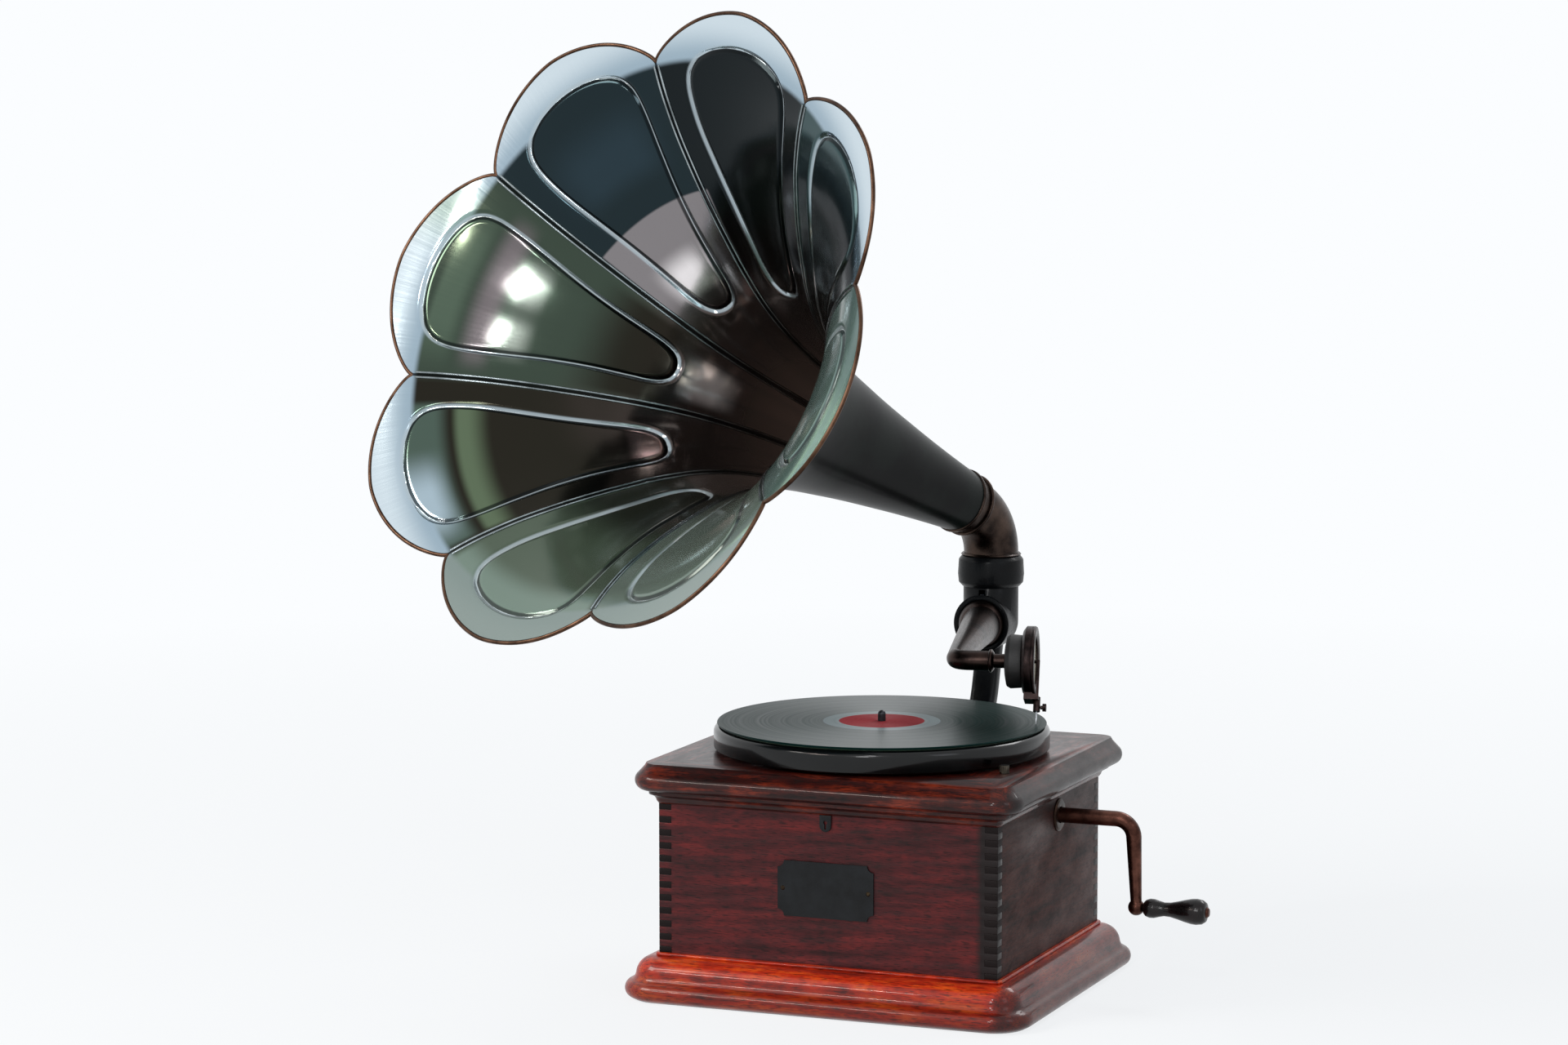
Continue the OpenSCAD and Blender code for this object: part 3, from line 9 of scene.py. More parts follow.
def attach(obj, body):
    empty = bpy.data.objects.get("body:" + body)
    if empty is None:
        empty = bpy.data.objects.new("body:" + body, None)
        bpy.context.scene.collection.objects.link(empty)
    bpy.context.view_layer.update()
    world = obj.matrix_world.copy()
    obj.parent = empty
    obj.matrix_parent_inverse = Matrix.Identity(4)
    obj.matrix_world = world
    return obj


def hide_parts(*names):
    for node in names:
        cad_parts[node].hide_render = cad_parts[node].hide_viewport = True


# A spring-driven table gramophone with an eight-petal horn, dressed on its CAD frame.
# Metres, +Z up. The middle of the cabinet's underside is the origin and its front faces -Y.
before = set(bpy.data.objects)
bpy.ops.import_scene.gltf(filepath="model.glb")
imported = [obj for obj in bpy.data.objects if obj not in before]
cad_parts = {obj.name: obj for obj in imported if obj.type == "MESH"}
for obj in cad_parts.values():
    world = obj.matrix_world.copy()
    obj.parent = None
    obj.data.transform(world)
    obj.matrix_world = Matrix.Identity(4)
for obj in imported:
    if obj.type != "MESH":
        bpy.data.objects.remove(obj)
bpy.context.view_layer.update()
scene = bpy.context.scene
scene.view_settings.view_transform = "Standard"


# Camera: a long lens, level, a little above the record and to the right of the cabinet.
def place_camera(azimuth, elevation, distance, target, lens):
    """Puts the camera round the target, without roll."""
    turn, rise = math.radians(azimuth), math.radians(elevation)
    right = Vector((math.cos(turn), math.sin(turn), 0))
    back = Vector((math.sin(turn) * math.cos(rise), -math.cos(turn) * math.cos(rise), math.sin(rise)))
    camera = bpy.data.objects.new("camera", bpy.data.cameras.new("camera"))
    camera.data.sensor_width = 36
    camera.data.lens = lens
    camera.data.clip_end = 60
    turned = Matrix((right, back.cross(right), back)).transposed().to_4x4()
    camera.matrix_world = Matrix.Translation(Vector(target) + back * distance) @ turned
    scene.collection.objects.link(camera)
    scene.camera = camera


place_camera(azimuth=21.94, elevation=6.78, distance=4.14315,
             target=(-0.08324, -0.03353, 0.42288), lens=105)


# Studio: a pale floor that fades into a white background, three soft lamps,
# and small ones that draw highlights.
def linear(code):
    """An sRGB hex colour as the linear one that a shader takes."""
    parts = [int(code[i:i + 2], 16) / 255 for i in (1, 3, 5)]
    return [c / 12.92 if c <= 0.04045 else ((c + 0.055) / 1.055) ** 2.4 for c in parts] + [1]


def add(tree, kind, inputs=None, **settings):
    """Adds a node with its settings, and fills its inputs with values or links."""
    node = tree.nodes.new(kind)
    for name, value in settings.items():
        setattr(node, name, value)
    for name, value in (inputs or {}).items():
        if isinstance(value, bpy.types.NodeSocket):
            tree.links.new(value, node.inputs[name])
        else:
            node.inputs[name].default_value = value
    return node


def new_material(name, values):
    """A material with constant values on its shader's own sockets."""
    material = bpy.data.materials.new(name)
    material.use_nodes = True
    shader = material.node_tree.nodes["Principled BSDF"]
    for socket, value in values.items():
        shader.inputs[socket].default_value = linear(value) if isinstance(value, str) else value
    return material, material.node_tree, shader


def seen_directly(tree):
    """1 for camera, glossy and transmission rays, 0 for the rest."""
    rays = add(tree, "ShaderNodeLightPath").outputs
    shine = add(tree, "ShaderNodeMath", {0: rays["Is Glossy Ray"], 1: rays["Is Transmission Ray"]},
                operation="MAXIMUM").outputs[0]
    return add(tree, "ShaderNodeMath", {0: rays["Is Camera Ray"], 1: shine}, operation="MAXIMUM").outputs[0]


def make_floor(size, fade_from, fade_to, white_near):
    """A square floor that turns to the background's white with the distance from the object."""
    mesh = bpy.data.meshes.new("floor")
    half = size / 2
    corners = [(-half, -half, 0), (half, -half, 0), (half, half, 0), (-half, half, 0)]
    mesh.from_pydata(corners, [], [(0, 1, 2, 3)])
    floor = bpy.data.objects.new("floor", mesh)
    scene.collection.objects.link(floor)
    material, tree, shader = new_material("matt_white_paper", {"Base Color": "#e9edf0", "Roughness": 0.9})
    place = add(tree, "ShaderNodeTexCoord").outputs["Object"]
    away = add(tree, "ShaderNodeVectorMath", {0: place}, operation="LENGTH").outputs["Value"]
    share = add(tree, "ShaderNodeMapRange", {0: away, 1: fade_from, 2: fade_to, 3: white_near, 4: 1.0})
    white = add(tree, "ShaderNodeMath", {0: share.outputs[0], 1: seen_directly(tree)}, operation="MULTIPLY")
    glow = add(tree, "ShaderNodeEmission", {"Color": linear("#fbfdff"), "Strength": 1.0})
    surface = add(tree, "ShaderNodeMixShader",
                  {0: white.outputs[0], 1: shader.outputs[0], 2: glow.outputs[0]})
    tree.links.new(surface.outputs[0], tree.nodes["Material Output"].inputs["Surface"])
    mesh.materials.append(material)


def make_world(ambient):
    """White where it is seen, and an even light elsewhere."""
    world = bpy.data.worlds.new("studio")
    scene.world = world
    world.use_nodes = True
    tree = world.node_tree
    strength = add(tree, "ShaderNodeMapRange", {0: seen_directly(tree), 3: ambient, 4: 1.0})
    tree.links.new(strength.outputs[0], tree.nodes["Background"].inputs["Strength"])
    tree.nodes["Background"].inputs["Color"].default_value = linear("#fbfdff")


def add_lamp(name, place, aim, size, power, colour):
    """A soft rectangular lamp that points at a spot."""
    light = bpy.data.lights.new(name, "AREA")
    light.shape = "RECTANGLE"
    light.size, light.size_y = size
    light.energy = power
    light.color = linear(colour)[:3]
    lamp = bpy.data.objects.new(name, light)
    lamp.location = place
    lamp.rotation_euler = (Vector(aim) - Vector(place)).to_track_quat("-Z", "Y").to_euler()
    scene.collection.objects.link(lamp)


make_floor(size=30, fade_from=0.6, fade_to=2.5, white_near=0.82)
make_world(ambient=0.26)
add_lamp("key", (-2.3, -2.0, 2.35), (0, 0, 0.3), (1.4, 1.1), 72, "#fffaf2")
add_lamp("side", (2.6, -1.2, 1.6), (0, 0, 0.3), (0.9, 1.4), 6, "#f2f6ff")
add_lamp("back", (0.9, 2.2, 2.3), (-0.1, 0, 0.4), (1.6, 0.7), 26, "#ffffff")
add_lamp("strip", (-0.96, -2.1, 1.3), (0, -0.1, 0.2), (0.6, 0.07), 8, "#ffeae0")
add_lamp("upper_window", (0.55, -2.35, 1.86), (-0.33, -0.04, 0.6), (0.26, 0.4), 7, "#ffffff")
add_lamp("lower_window", (0.33, -2.4, 1.05), (-0.33, -0.04, 0.6), (0.34, 0.42), 8, "#ffffff")


# Cabinet panels: solid mahogany boards, finger-jointed at the corners, stained dark red
# and varnished. The grain lies level, and the fingers' ends drank more stain.
def softened(name, width, crease=30):
    """A copy of a CAD node with its sharp edges rounded, which stands for the node."""
    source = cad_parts[name]
    piece = bpy.data.objects.new(name + "_piece", source.data.copy())
    scene.collection.objects.link(piece)
    shape = bmesh.new()
    shape.from_mesh(piece.data)
    bmesh.ops.remove_doubles(shape, verts=shape.verts, dist=2e-6)
    bmesh.ops.dissolve_limit(shape, angle_limit=math.radians(0.5), verts=shape.verts, edges=shape.edges)
    shape.to_mesh(piece.data)
    shape.free()
    if width:
        bevel = piece.modifiers.new("soft_edges", "BEVEL")
        bevel.width = width
        bevel.segments = 2
        bevel.limit_method = "ANGLE"
        bevel.angle_limit = math.radians(crease)
        bevel.harden_normals = False
        settle(piece)
    piece.data.shade_smooth()
    piece.data.set_sharp_from_angle(angle=math.radians(crease + 8))
    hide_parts(name)
    return piece


def settle(piece):
    """Turns a piece's modifiers into its plain mesh."""
    graph = bpy.context.evaluated_depsgraph_get()
    shaped = piece.evaluated_get(graph)
    mesh = bpy.data.meshes.new_from_object(shaped, preserve_all_data_layers=True, depsgraph=graph)
    piece.modifiers.clear()
    piece.data = mesh


def dress(piece, material, body=None):
    """Gives a piece or a CAD node its material, and a piece its body."""
    piece.data.materials.clear()
    piece.data.materials.append(material)
    if body:
        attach(piece, body)


def mahogany(name, dark, middle, light, grain, end_grain=None, darker_bands=(), values=None):
    """Varnished mahogany. grain 0 or 1 runs along X or Y, and 2 along each side of a moulding."""
    finish = {"Roughness": 0.42, "Specular IOR Level": 0.3, "Coat Weight": 0.15, "Coat Roughness": 0.16}
    finish.update(values or {})
    material, tree, shader = new_material(name, finish)
    place = add(tree, "ShaderNodeTexCoord").outputs["Object"]
    part = add(tree, "ShaderNodeSeparateXYZ", {0: place}).outputs
    along_x = add(tree, "ShaderNodeCombineXYZ", {0: part[0], 1: part[1], 2: part[2]}).outputs[0]
    along_y = add(tree, "ShaderNodeCombineXYZ", {0: part[1], 1: part[0], 2: part[2]}).outputs[0]
    far_x = add(tree, "ShaderNodeMath", {0: part[0]}, operation="ABSOLUTE").outputs[0]
    far_y = add(tree, "ShaderNodeMath", {0: part[1]}, operation="ABSOLUTE").outputs[0]
    line = along_y if grain == 1 else along_x
    if grain == 2:
        # The boards of a moulding meet in a mitre, 20 mm further out along X than along Y
        gap = add(tree, "ShaderNodeMath", {0: far_x, 1: far_y}, operation="SUBTRACT").outputs[0]
        side = add(tree, "ShaderNodeMath", {0: gap, 1: 0.020}, operation="GREATER_THAN").outputs[0]
        mixed = add(tree, "ShaderNodeMix", {0: side, 4: along_x, 5: along_y}, data_type="VECTOR")
        line = mixed.outputs[1]
    # Streaks 90 mm by 7 mm, patches 30 mm across, and pores drawn at 9 mm by 0.9 mm
    streak_at = add(tree, "ShaderNodeVectorMath", {0: line, 1: (11, 140, 140)},
                    operation="MULTIPLY").outputs[0]
    streaks = add(tree, "ShaderNodeTexNoise",
                  {"Vector": streak_at, "Scale": 1, "Detail": 5, "Roughness": 0.62})
    patch_at = add(tree, "ShaderNodeVectorMath", {0: line, 1: (22, 48, 48)}, operation="MULTIPLY").outputs[0]
    patches = add(tree, "ShaderNodeTexNoise", {"Vector": patch_at, "Scale": 1, "Detail": 4, "Roughness": 0.7})
    pore_at = add(tree, "ShaderNodeVectorMath", {0: line, 1: (110, 1100, 1100)},
                  operation="MULTIPLY").outputs[0]
    pores = add(tree, "ShaderNodeTexNoise", {"Vector": pore_at, "Scale": 1, "Detail": 1, "Roughness": 0.5})
    tone = add(tree, "ShaderNodeMath", {0: streaks.outputs[0], 1: patches.outputs[0]},
               operation="ADD").outputs[0]
    ramp = add(tree, "ShaderNodeValToRGB")
    ramp.color_ramp.elements[0].position, ramp.color_ramp.elements[0].color = 0.36, linear(dark)
    ramp.color_ramp.elements[1].position, ramp.color_ramp.elements[1].color = 0.66, linear(light)
    ramp.color_ramp.elements.new(0.5).color = linear(middle)
    half = add(tree, "ShaderNodeMath", {0: tone, 1: 0.5}, operation="MULTIPLY").outputs[0]
    tree.links.new(half, ramp.inputs[0])
    speck = add(tree, "ShaderNodeMapRange",
                {0: pores.outputs[0], 1: 0.34, 2: 0.46, 3: 0.35, 4: 1.0}).outputs[0]
    colour = add(tree, "ShaderNodeMix", {0: 1.0, 6: ramp.outputs[0], 7: speck},
                 data_type="RGBA", blend_type="MULTIPLY").outputs[2]
    if end_grain:
        axis, edge = end_grain
        ends = add(tree, "ShaderNodeMath", {0: (far_x, far_y)[axis], 1: edge},
                   operation="GREATER_THAN").outputs[0]
        colour = add(tree, "ShaderNodeMix", {0: ends, 6: colour, 7: linear("#0f0909")},
                     data_type="RGBA").outputs[2]
    for axis, start, stop, share in darker_bands:
        # Darker along one corner, edge or side; mostly painted shade, as noted where each wood is made
        near = add(tree, "ShaderNodeMapRange", {0: part[axis], 1: start, 2: stop},
                   interpolation_type="SMOOTHSTEP")
        darkened = add(tree, "ShaderNodeMath", {0: near.outputs[0], 1: share}, operation="MULTIPLY").outputs[0]
        colour = add(tree, "ShaderNodeMix", {0: darkened, 6: colour, 7: linear("#120b0b")},
                     data_type="RGBA").outputs[2]
    tree.links.new(colour, shader.inputs["Base Color"])
    dull, glossy = finish["Roughness"] + 0.1, finish["Roughness"] - 0.08
    rough = add(tree, "ShaderNodeMapRange", {0: patches.outputs[0], 1: 0.3, 2: 0.7, 3: dull, 4: glossy})
    tree.links.new(rough.outputs[0], shader.inputs["Roughness"])
    bump = add(tree, "ShaderNodeBump", {"Strength": 0.25, "Distance": 0.0003, "Height": speck})
    tree.links.new(bump.outputs[0], shader.inputs["Normal"])
    return material


# Wine red with level black streaks, and one corner nearly black: the fingers' end grain, and painted shade
# round the corner
front_wood = mahogany("mahogany_level_grain", "#170606", "#411316", "#661d1d", 0, end_grain=(0, 0.1606),
                      darker_bands=((0, 0.139, 0.147, 0.97),),
                      values={"Coat Weight": 0.06, "Specular IOR Level": 0.2})
# The same boards on the sides: duller and flatter, painted darker and browner as shade away from the light,
# with painted shade along the front corner and painted shadow under the lid at the top
side_wood_painted_shade = mahogany("mahogany_side_grain_painted_shade", "#190d0b", "#3a1b16", "#4d261c", 1, end_grain=(1, 0.1406),
                     darker_bands=((1, -0.126, -0.134, 0.97), (2, 0.13, 0.19, 0.6)),
                     values={"Coat Weight": 0.02, "Roughness": 0.5, "Specular IOR Level": 0.12})
for name, wood in (("front_panel", front_wood), ("back_panel", front_wood),
                   ("left_panel", side_wood_painted_shade), ("right_panel", side_wood_painted_shade)):
    dress(softened(name, 0.0004), wood, "cabinet")

# Bottom board: plain softwood, unvarnished, nailed inside the panels.
# Pale and dry, with no shine at all
board_wood = mahogany("unvarnished_pine", "#5a4230", "#7a5b40", "#94714f", 0,
                      values={"Coat Weight": 0.0, "Roughness": 0.7})
dress(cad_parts["bottom_board"], board_wood)

# Mouldings and lid: mahogany run to a profile, mitred at the corners and glued on.
# The base is the reddest and glossiest, and the lid is nearly black on top.
# Orange red under a thick wet gloss, darker towards the lower bead, and with painted shade on the right side,
# away from the light
base_wood = mahogany("mahogany_bright_varnish", "#5a0f08", "#b32a0e", "#e25f1c", 2,
                     darker_bands=((2, 0.034, 0.016, 0.5), (0, 0.163, 0.172, 0.62)),
                     values={"Coat Weight": 0.3, "Coat Roughness": 0.06, "Roughness": 0.34,
                             "Specular IOR Level": 0.18})
# Nearly black brown, with red in the streaks, painted shade on the right side, and a hard gloss that draws a
# line along the nosing
lid_wood = mahogany("mahogany_dark_varnish", "#0f0605", "#38100c", "#86301a", 2,
                    darker_bands=((0, 0.17, 0.18, 0.75),),
                    values={"Coat Weight": 0.3, "Coat Roughness": 0.05, "Roughness": 0.36,
                            "Specular IOR Level": 0.12})
dress(softened("base_moulding", 0.0), base_wood, "cabinet")
dress(softened("cove_moulding", 0.0), lid_wood, "cabinet")
dress(softened("lid_board", 0.0), lid_wood, "cabinet")


# Nameplate and catch: pressed brass plates, blackened. Two small brass pins hold the nameplate,
# and the hole for the crank has a round plate of bronzed steel.
def mottled(name, dark, light, metallic, roughness, size, values=None, spread=0.12, dent=0.0):
    """A finish whose colour and gloss wander between two values, over patches of a given size in metres."""
    finish = {"Metallic": metallic}
    finish.update(values or {})
    material, tree, shader = new_material(name, finish)
    place = add(tree, "ShaderNodeTexCoord").outputs["Object"]
    cloud = add(tree, "ShaderNodeTexNoise",
                {"Vector": place, "Scale": 1 / size, "Detail": 5, "Roughness": 0.6})
    grain = add(tree, "ShaderNodeTexNoise",
                {"Vector": place, "Scale": 12 / size, "Detail": 2, "Roughness": 0.5})
    share = add(tree, "ShaderNodeMapRange", {0: cloud.outputs[0], 1: 0.35, 2: 0.65}).outputs[0]
    colour = add(tree, "ShaderNodeMix", {0: share, 6: linear(dark), 7: linear(light)},
                 data_type="RGBA").outputs[2]
    tree.links.new(colour, shader.inputs["Base Color"])
    glossy, dull = roughness - spread / 2, roughness + spread / 2
    rough = add(tree, "ShaderNodeMapRange",
                {0: grain.outputs[0], 1: 0.3, 2: 0.7, 3: glossy, 4: dull}).outputs[0]
    tree.links.new(rough, shader.inputs["Roughness"])
    if dent:
        bump = add(tree, "ShaderNodeBump", {"Strength": 0.3, "Distance": dent, "Height": grain.outputs[0]})
        tree.links.new(bump.outputs[0], shader.inputs["Normal"])
    return material


# Soft black with a faint sheen, like old stove blacking
plate_finish = mottled("blackened_brass", "#0a0c0e", "#16191c", 0.2, 0.4, 0.02,
                       values={"Specular IOR Level": 0.25}, dent=0.0002)
# Small warm brown dots
pin_finish = mottled("worn_brass_pin", "#2a231c", "#4a3d2d", 1.0, 0.35, 0.004)
dress(softened("nameplate", 0.0), plate_finish, "cabinet")
dress(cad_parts["nameplate_pins"], pin_finish)
dress(softened("lid_catch", 0.0003), plate_finish, "cabinet")
# Dark brown metal, a shade redder than the plate
escutcheon_finish = mottled("bronzed_steel_plate", "#1d1613", "#3a2a22", 1.0, 0.4, 0.01)
dress(softened("crank_escutcheon", 0.0003), escutcheon_finish, "cabinet")

# Bracket: one iron casting with a foot plate, a curved post and a hollow elbow, japanned black.
# The collar that takes the horn sits on its upper mouth, and two screws carry the tone arm.
# Deep blue black enamel on a slightly lumpy casting, with long soft highlights
iron_finish = mottled("black_japanned_iron", "#08090b", "#0f1215", 0.0, 0.34, 0.03,
                      values={"Specular IOR Level": 0.1, "Coat Weight": 0.06, "Coat Roughness": 0.1},
                      dent=0.0004)
# Black steel with a blue cast
screw_finish = mottled("blued_steel_screw", "#121417", "#24272c", 1.0, 0.32, 0.006)
dress(softened("horn_bracket", 0.0006), iron_finish, "cabinet")
dress(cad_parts["bracket_screws"], screw_finish)
dress(softened("swivel_collar", 0.0005), iron_finish, "cabinet")
dress(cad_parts["pivot_screws"], screw_finish)

# Motor: two steel plates on turned pillars, hung from the lid by four bolts.
# Plain grey machined steel and yellow cut brass, as clean as inside a closed case
steel_finish = mottled("machined_steel", "#74777a", "#94979a", 1.0, 0.34, 0.02)
brass_finish = mottled("cut_brass", "#8d6f35", "#b08f4c", 1.0, 0.28, 0.015)
for name in ("motor_top_plate", "motor_bottom_plate", "motor_pillars", "motor_bolts", "crank_bearing"):
    dress(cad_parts[name], steel_finish)
dress(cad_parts["spindle_bush"], brass_finish)

# Turntable: a turned steel spindle carries a pressed steel platter, enamelled black,
# a disc of green felt and the shellac record with its plain red label.
# Steel gone dull and dark from handling
tip_finish = mottled("dull_steel_spindle", "#26272a", "#3f4044", 1.0, 0.36, 0.01)
dress(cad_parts["spindle"], tip_finish)
# Wet-looking black that mirrors the lamps in a line round the rim
enamel_finish = mottled("black_enamel", "#050607", "#0a0d0e", 0.0, 0.2, 0.05,
                        values={"Specular IOR Level": 0.22, "Coat Weight": 0.2, "Coat Roughness": 0.06},
                        spread=0.06)
dress(softened("platter", 0.0), enamel_finish, "turntable")
# Matt dark green wool
felt_finish = mottled("green_felt", "#1b3524", "#2b4a33", 0.0, 0.92, 0.006,
                      values={"Sheen Weight": 0.4, "Sheen Roughness": 0.6}, dent=0.0006)
dress(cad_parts["platter_felt"], felt_finish)


def shellac_record(name, label_r, ring_r, spindle_y):
    """Black shellac with a green sheen in its grooves, partly painted into their colour, and a smooth ring
    painted grey as a reflection round a red paper label.
    """
    finish = {"Specular IOR Level": 0.18, "Specular Tint": "#4fb3a4", "Anisotropic": 0.75,
              "Coat Weight": 0.02, "Coat Roughness": 0.1}
    material, tree, shader = new_material(name, finish)
    place = add(tree, "ShaderNodeTexCoord").outputs["Object"]
    centred = add(tree, "ShaderNodeVectorMath", {0: place, 1: (0, -spindle_y, 0)}, operation="ADD").outputs[0]
    flat = add(tree, "ShaderNodeVectorMath", {0: centred, 1: (1, 1, 0)}, operation="MULTIPLY").outputs[0]
    away = add(tree, "ShaderNodeVectorMath", {0: flat}, operation="LENGTH").outputs["Value"]
    # Bands of loud and soft grooves, the loud ones with a painted teal sheen, and single grooves drawn 1.2 mm
    # apart so that they show
    band_at = add(tree, "ShaderNodeCombineXYZ", {0: away}).outputs[0]
    bands = add(tree, "ShaderNodeTexNoise", {"Vector": band_at, "Scale": 260, "Detail": 4, "Roughness": 0.7})
    cut = add(tree, "ShaderNodeMath", {0: away, 1: 2 * math.pi / 0.0012}, operation="MULTIPLY").outputs[0]
    wave = add(tree, "ShaderNodeMath", {0: cut}, operation="SINE").outputs[0]
    painted_teal_sheen, softer = linear("#103330"), linear("#040b0a")
    black = add(tree, "ShaderNodeMix", {0: bands.outputs[0], 6: softer, 7: painted_teal_sheen},
                data_type="RGBA").outputs[2]
    ring_painted_reflection = add(tree, "ShaderNodeMath", {0: away, 1: ring_r}, operation="LESS_THAN").outputs[0]
    in_label = add(tree, "ShaderNodeMath", {0: away, 1: label_r}, operation="LESS_THAN").outputs[0]
    paper = add(tree, "ShaderNodeTexNoise", {"Vector": place, "Scale": 420, "Detail": 3})
    red = add(tree, "ShaderNodeMix", {0: paper.outputs[0], 6: linear("#a32f38"), 7: linear("#c24a50")},
              data_type="RGBA").outputs[2]
    # The smooth ring round the label: a painted grey reflection
    colour = add(tree, "ShaderNodeMix", {0: ring_painted_reflection, 6: black, 7: linear("#74868a")},
                 data_type="RGBA").outputs[2]
    colour = add(tree, "ShaderNodeMix", {0: in_label, 6: colour, 7: red}, data_type="RGBA").outputs[2]
    tree.links.new(colour, shader.inputs["Base Color"])
    groove_gloss = add(tree, "ShaderNodeMapRange",
                       {0: bands.outputs[0], 1: 0.3, 2: 0.7, 3: 0.26, 4: 0.42}).outputs[0]
    gloss = add(tree, "ShaderNodeMix", {0: in_label, 2: groove_gloss, 3: 0.8}).outputs[0]
    tree.links.new(gloss, shader.inputs["Roughness"])
    tangent = add(tree, "ShaderNodeTangent", direction_type="RADIAL", axis="Z").outputs[0]
    tree.links.new(tangent, shader.inputs["Tangent"])
    grooved = add(tree, "ShaderNodeMath", {0: away, 1: ring_r}, operation="GREATER_THAN").outputs[0]
    height = add(tree, "ShaderNodeMath", {0: wave, 1: grooved}, operation="MULTIPLY").outputs[0]
    bump = add(tree, "ShaderNodeBump", {"Strength": 0.12, "Distance": 0.0001, "Height": height})
    tree.links.new(bump.outputs[0], shader.inputs["Normal"])
    return material


# Black with a teal light that fans out from the spindle, partly a painted sheen in the grooves' colour, a
# ring painted grey as a reflection, and a flat brick-red middle
record_finish = shellac_record("shellac_and_paper_label", label_r=0.039, ring_r=0.0535, spindle_y=-0.002)
dress(softened("record", 0.0), record_finish, "turntable")

# Train: cut brass wheels and steel shafts between the plates, a spring barrel and a governor.
# Blue-black coiled steel
spring_finish = mottled("blued_spring_steel", "#23262e", "#3a3f4c", 1.0, 0.25, 0.02)
for name in ("intermediate_gear", "spring_barrel", "winding_wheel", "governor_weights", "crank_pinion"):
    dress(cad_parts[name], brass_finish)
dress(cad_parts["mainspring"], spring_finish)
dress(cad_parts["governor_shaft"], steel_finish)

# Speed control: a small milled knob on the deck turns down onto a lever over the governor.
# Worn nickel that shows the brass, dull but for one bright edge
knob_finish = mottled("nickelled_brass", "#35332f", "#5f5a50", 1.0, 0.2, 0.005)
dress(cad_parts["speed_knob"], knob_finish)
dress(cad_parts["speed_lever"], steel_finish)

# Winding crank: forged steel, bronzed brown, with a turned and ebonised handle on a pin.
# Red-brown metal with a satin line along the bar
bronze_finish = mottled("bronzed_steel_bar", "#35201b", "#6b463b", 1.0, 0.36, 0.02, dent=0.0003)
# Black lacquered wood that lets a little red through
handle_finish = mottled("ebonised_beech", "#080607", "#1a1011", 0.0, 0.26, 0.015,
                        values={"Specular IOR Level": 0.2, "Coat Weight": 0.18, "Coat Roughness": 0.05})
dress(softened("crank_rod", 0.0), bronze_finish, "crank")
dress(softened("crank_handle", 0.0), handle_finish, "handle")

# Tone arm: a tapered tube of bronzed brass with a ball end, its bend soldered to a stub.
# Dark taupe metal with a pinkish light along the tube
arm_finish = mottled("bronzed_brass_tube", "#1c1615", "#3d302c", 1.0, 0.34, 0.03)
dress(softened("tonearm_tube", 0.0), arm_finish, "tone_arm")
dress(softened("tonearm_collar", 0.0), arm_finish, "tone_arm")

# Sound box: a cast cup and bezel round a mica diaphragm, held to the arm by a rubber flange.
# Its stylus bar rocks on two lugs and clamps the steel needle with a thumb screw.
# Dead black, with the dusty grey of old rubber
rubber_finish = mottled("aged_rubber", "#0f0e0e", "#1d1b1b", 0.0, 0.55, 0.01, values={"IOR": 1.5})
# Brown-black cast metal, a little brighter on its edges
box_finish = mottled("gunmetal_casting", "#1a1616", "#322827", 1.0, 0.34, 0.01)
# A pale tan sheet behind the bar, with a glassy surface
mica_finish = mottled("mica_sheet", "#8d8674", "#b7b09d", 0.0, 0.2, 0.012, values={"IOR": 1.58})
# The one bright point of clean steel
needle_finish = mottled("polished_steel_needle", "#8d9094", "#b5b8bb", 1.0, 0.18, 0.004)
for name, finish, slot in (
    ("rubber_flange", rubber_finish, "rubber"),
    ("soundbox_shell", box_finish, "soundbox_metal"),
    ("soundbox_bezel", box_finish, "soundbox_metal"),
):
    dress(softened(name, 0.0003), finish, "sound_box")
for name in ("stylus_mount", "stylus_bar", "needle_screw"):
    dress(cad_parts[name], box_finish)
dress(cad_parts["diaphragm"], mica_finish)
dress(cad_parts["needle"], needle_finish)

# Horn elbow and sleeve: bent steel tube, bronzed, with rolled beads where it joins the horn.
# Brown-black tube with copper lights on its rolled beads
elbow_finish = mottled("bronzed_steel_tube", "#231d1b", "#4a3d36", 1.0, 0.32, 0.03)
dress(softened("horn_elbow", 0.0), elbow_finish, "horn")
dress(softened("throat_sleeve", 0.0), elbow_finish, "horn")

# Horn: eight gores of sheet steel. Each is cut flat with a round end, pressed with a bead
# in the shape of a petal, rolled to the flare and folded to its neighbours.
GORES = 8
GORE_ANGLE = 2 * math.pi / GORES
FIRST_SEAM = math.radians(12.4)
# Along the horn's axis: the sleeve's end, the notches, how far the tips pass them, the pattern's end
SLEEVE_END, NOTCH_Z, TIP_FORE, PATTERN_END = 0.018, 0.505, 0.0179, 0.5255
# Radii: at the throat, at the notches, how far the tips pass them, at the pattern's end
THROAT_R, NOTCH_R, TIP_OUT, PATTERN_R = 0.0285, 0.259, 0.0377, 0.3022
# The sheet, half the space between a fold's two lines, and the radii of those lines and of the rim
SHEET, FOLD_ASIDE, FOLD_R, RIM_R = 0.0012, 0.0024, 0.0011, 0.0019
# The flare: share of the way to the notches, and share of the radius gained by then
FLARE = [
    (0, 0), (0.12, 0.028), (0.25, 0.066), (0.40, 0.118), (0.53, 0.178), (0.62, 0.25),
    (0.70, 0.352), (0.76, 0.45), (0.82, 0.558), (0.88, 0.678), (0.94, 0.817), (1, 1),
]
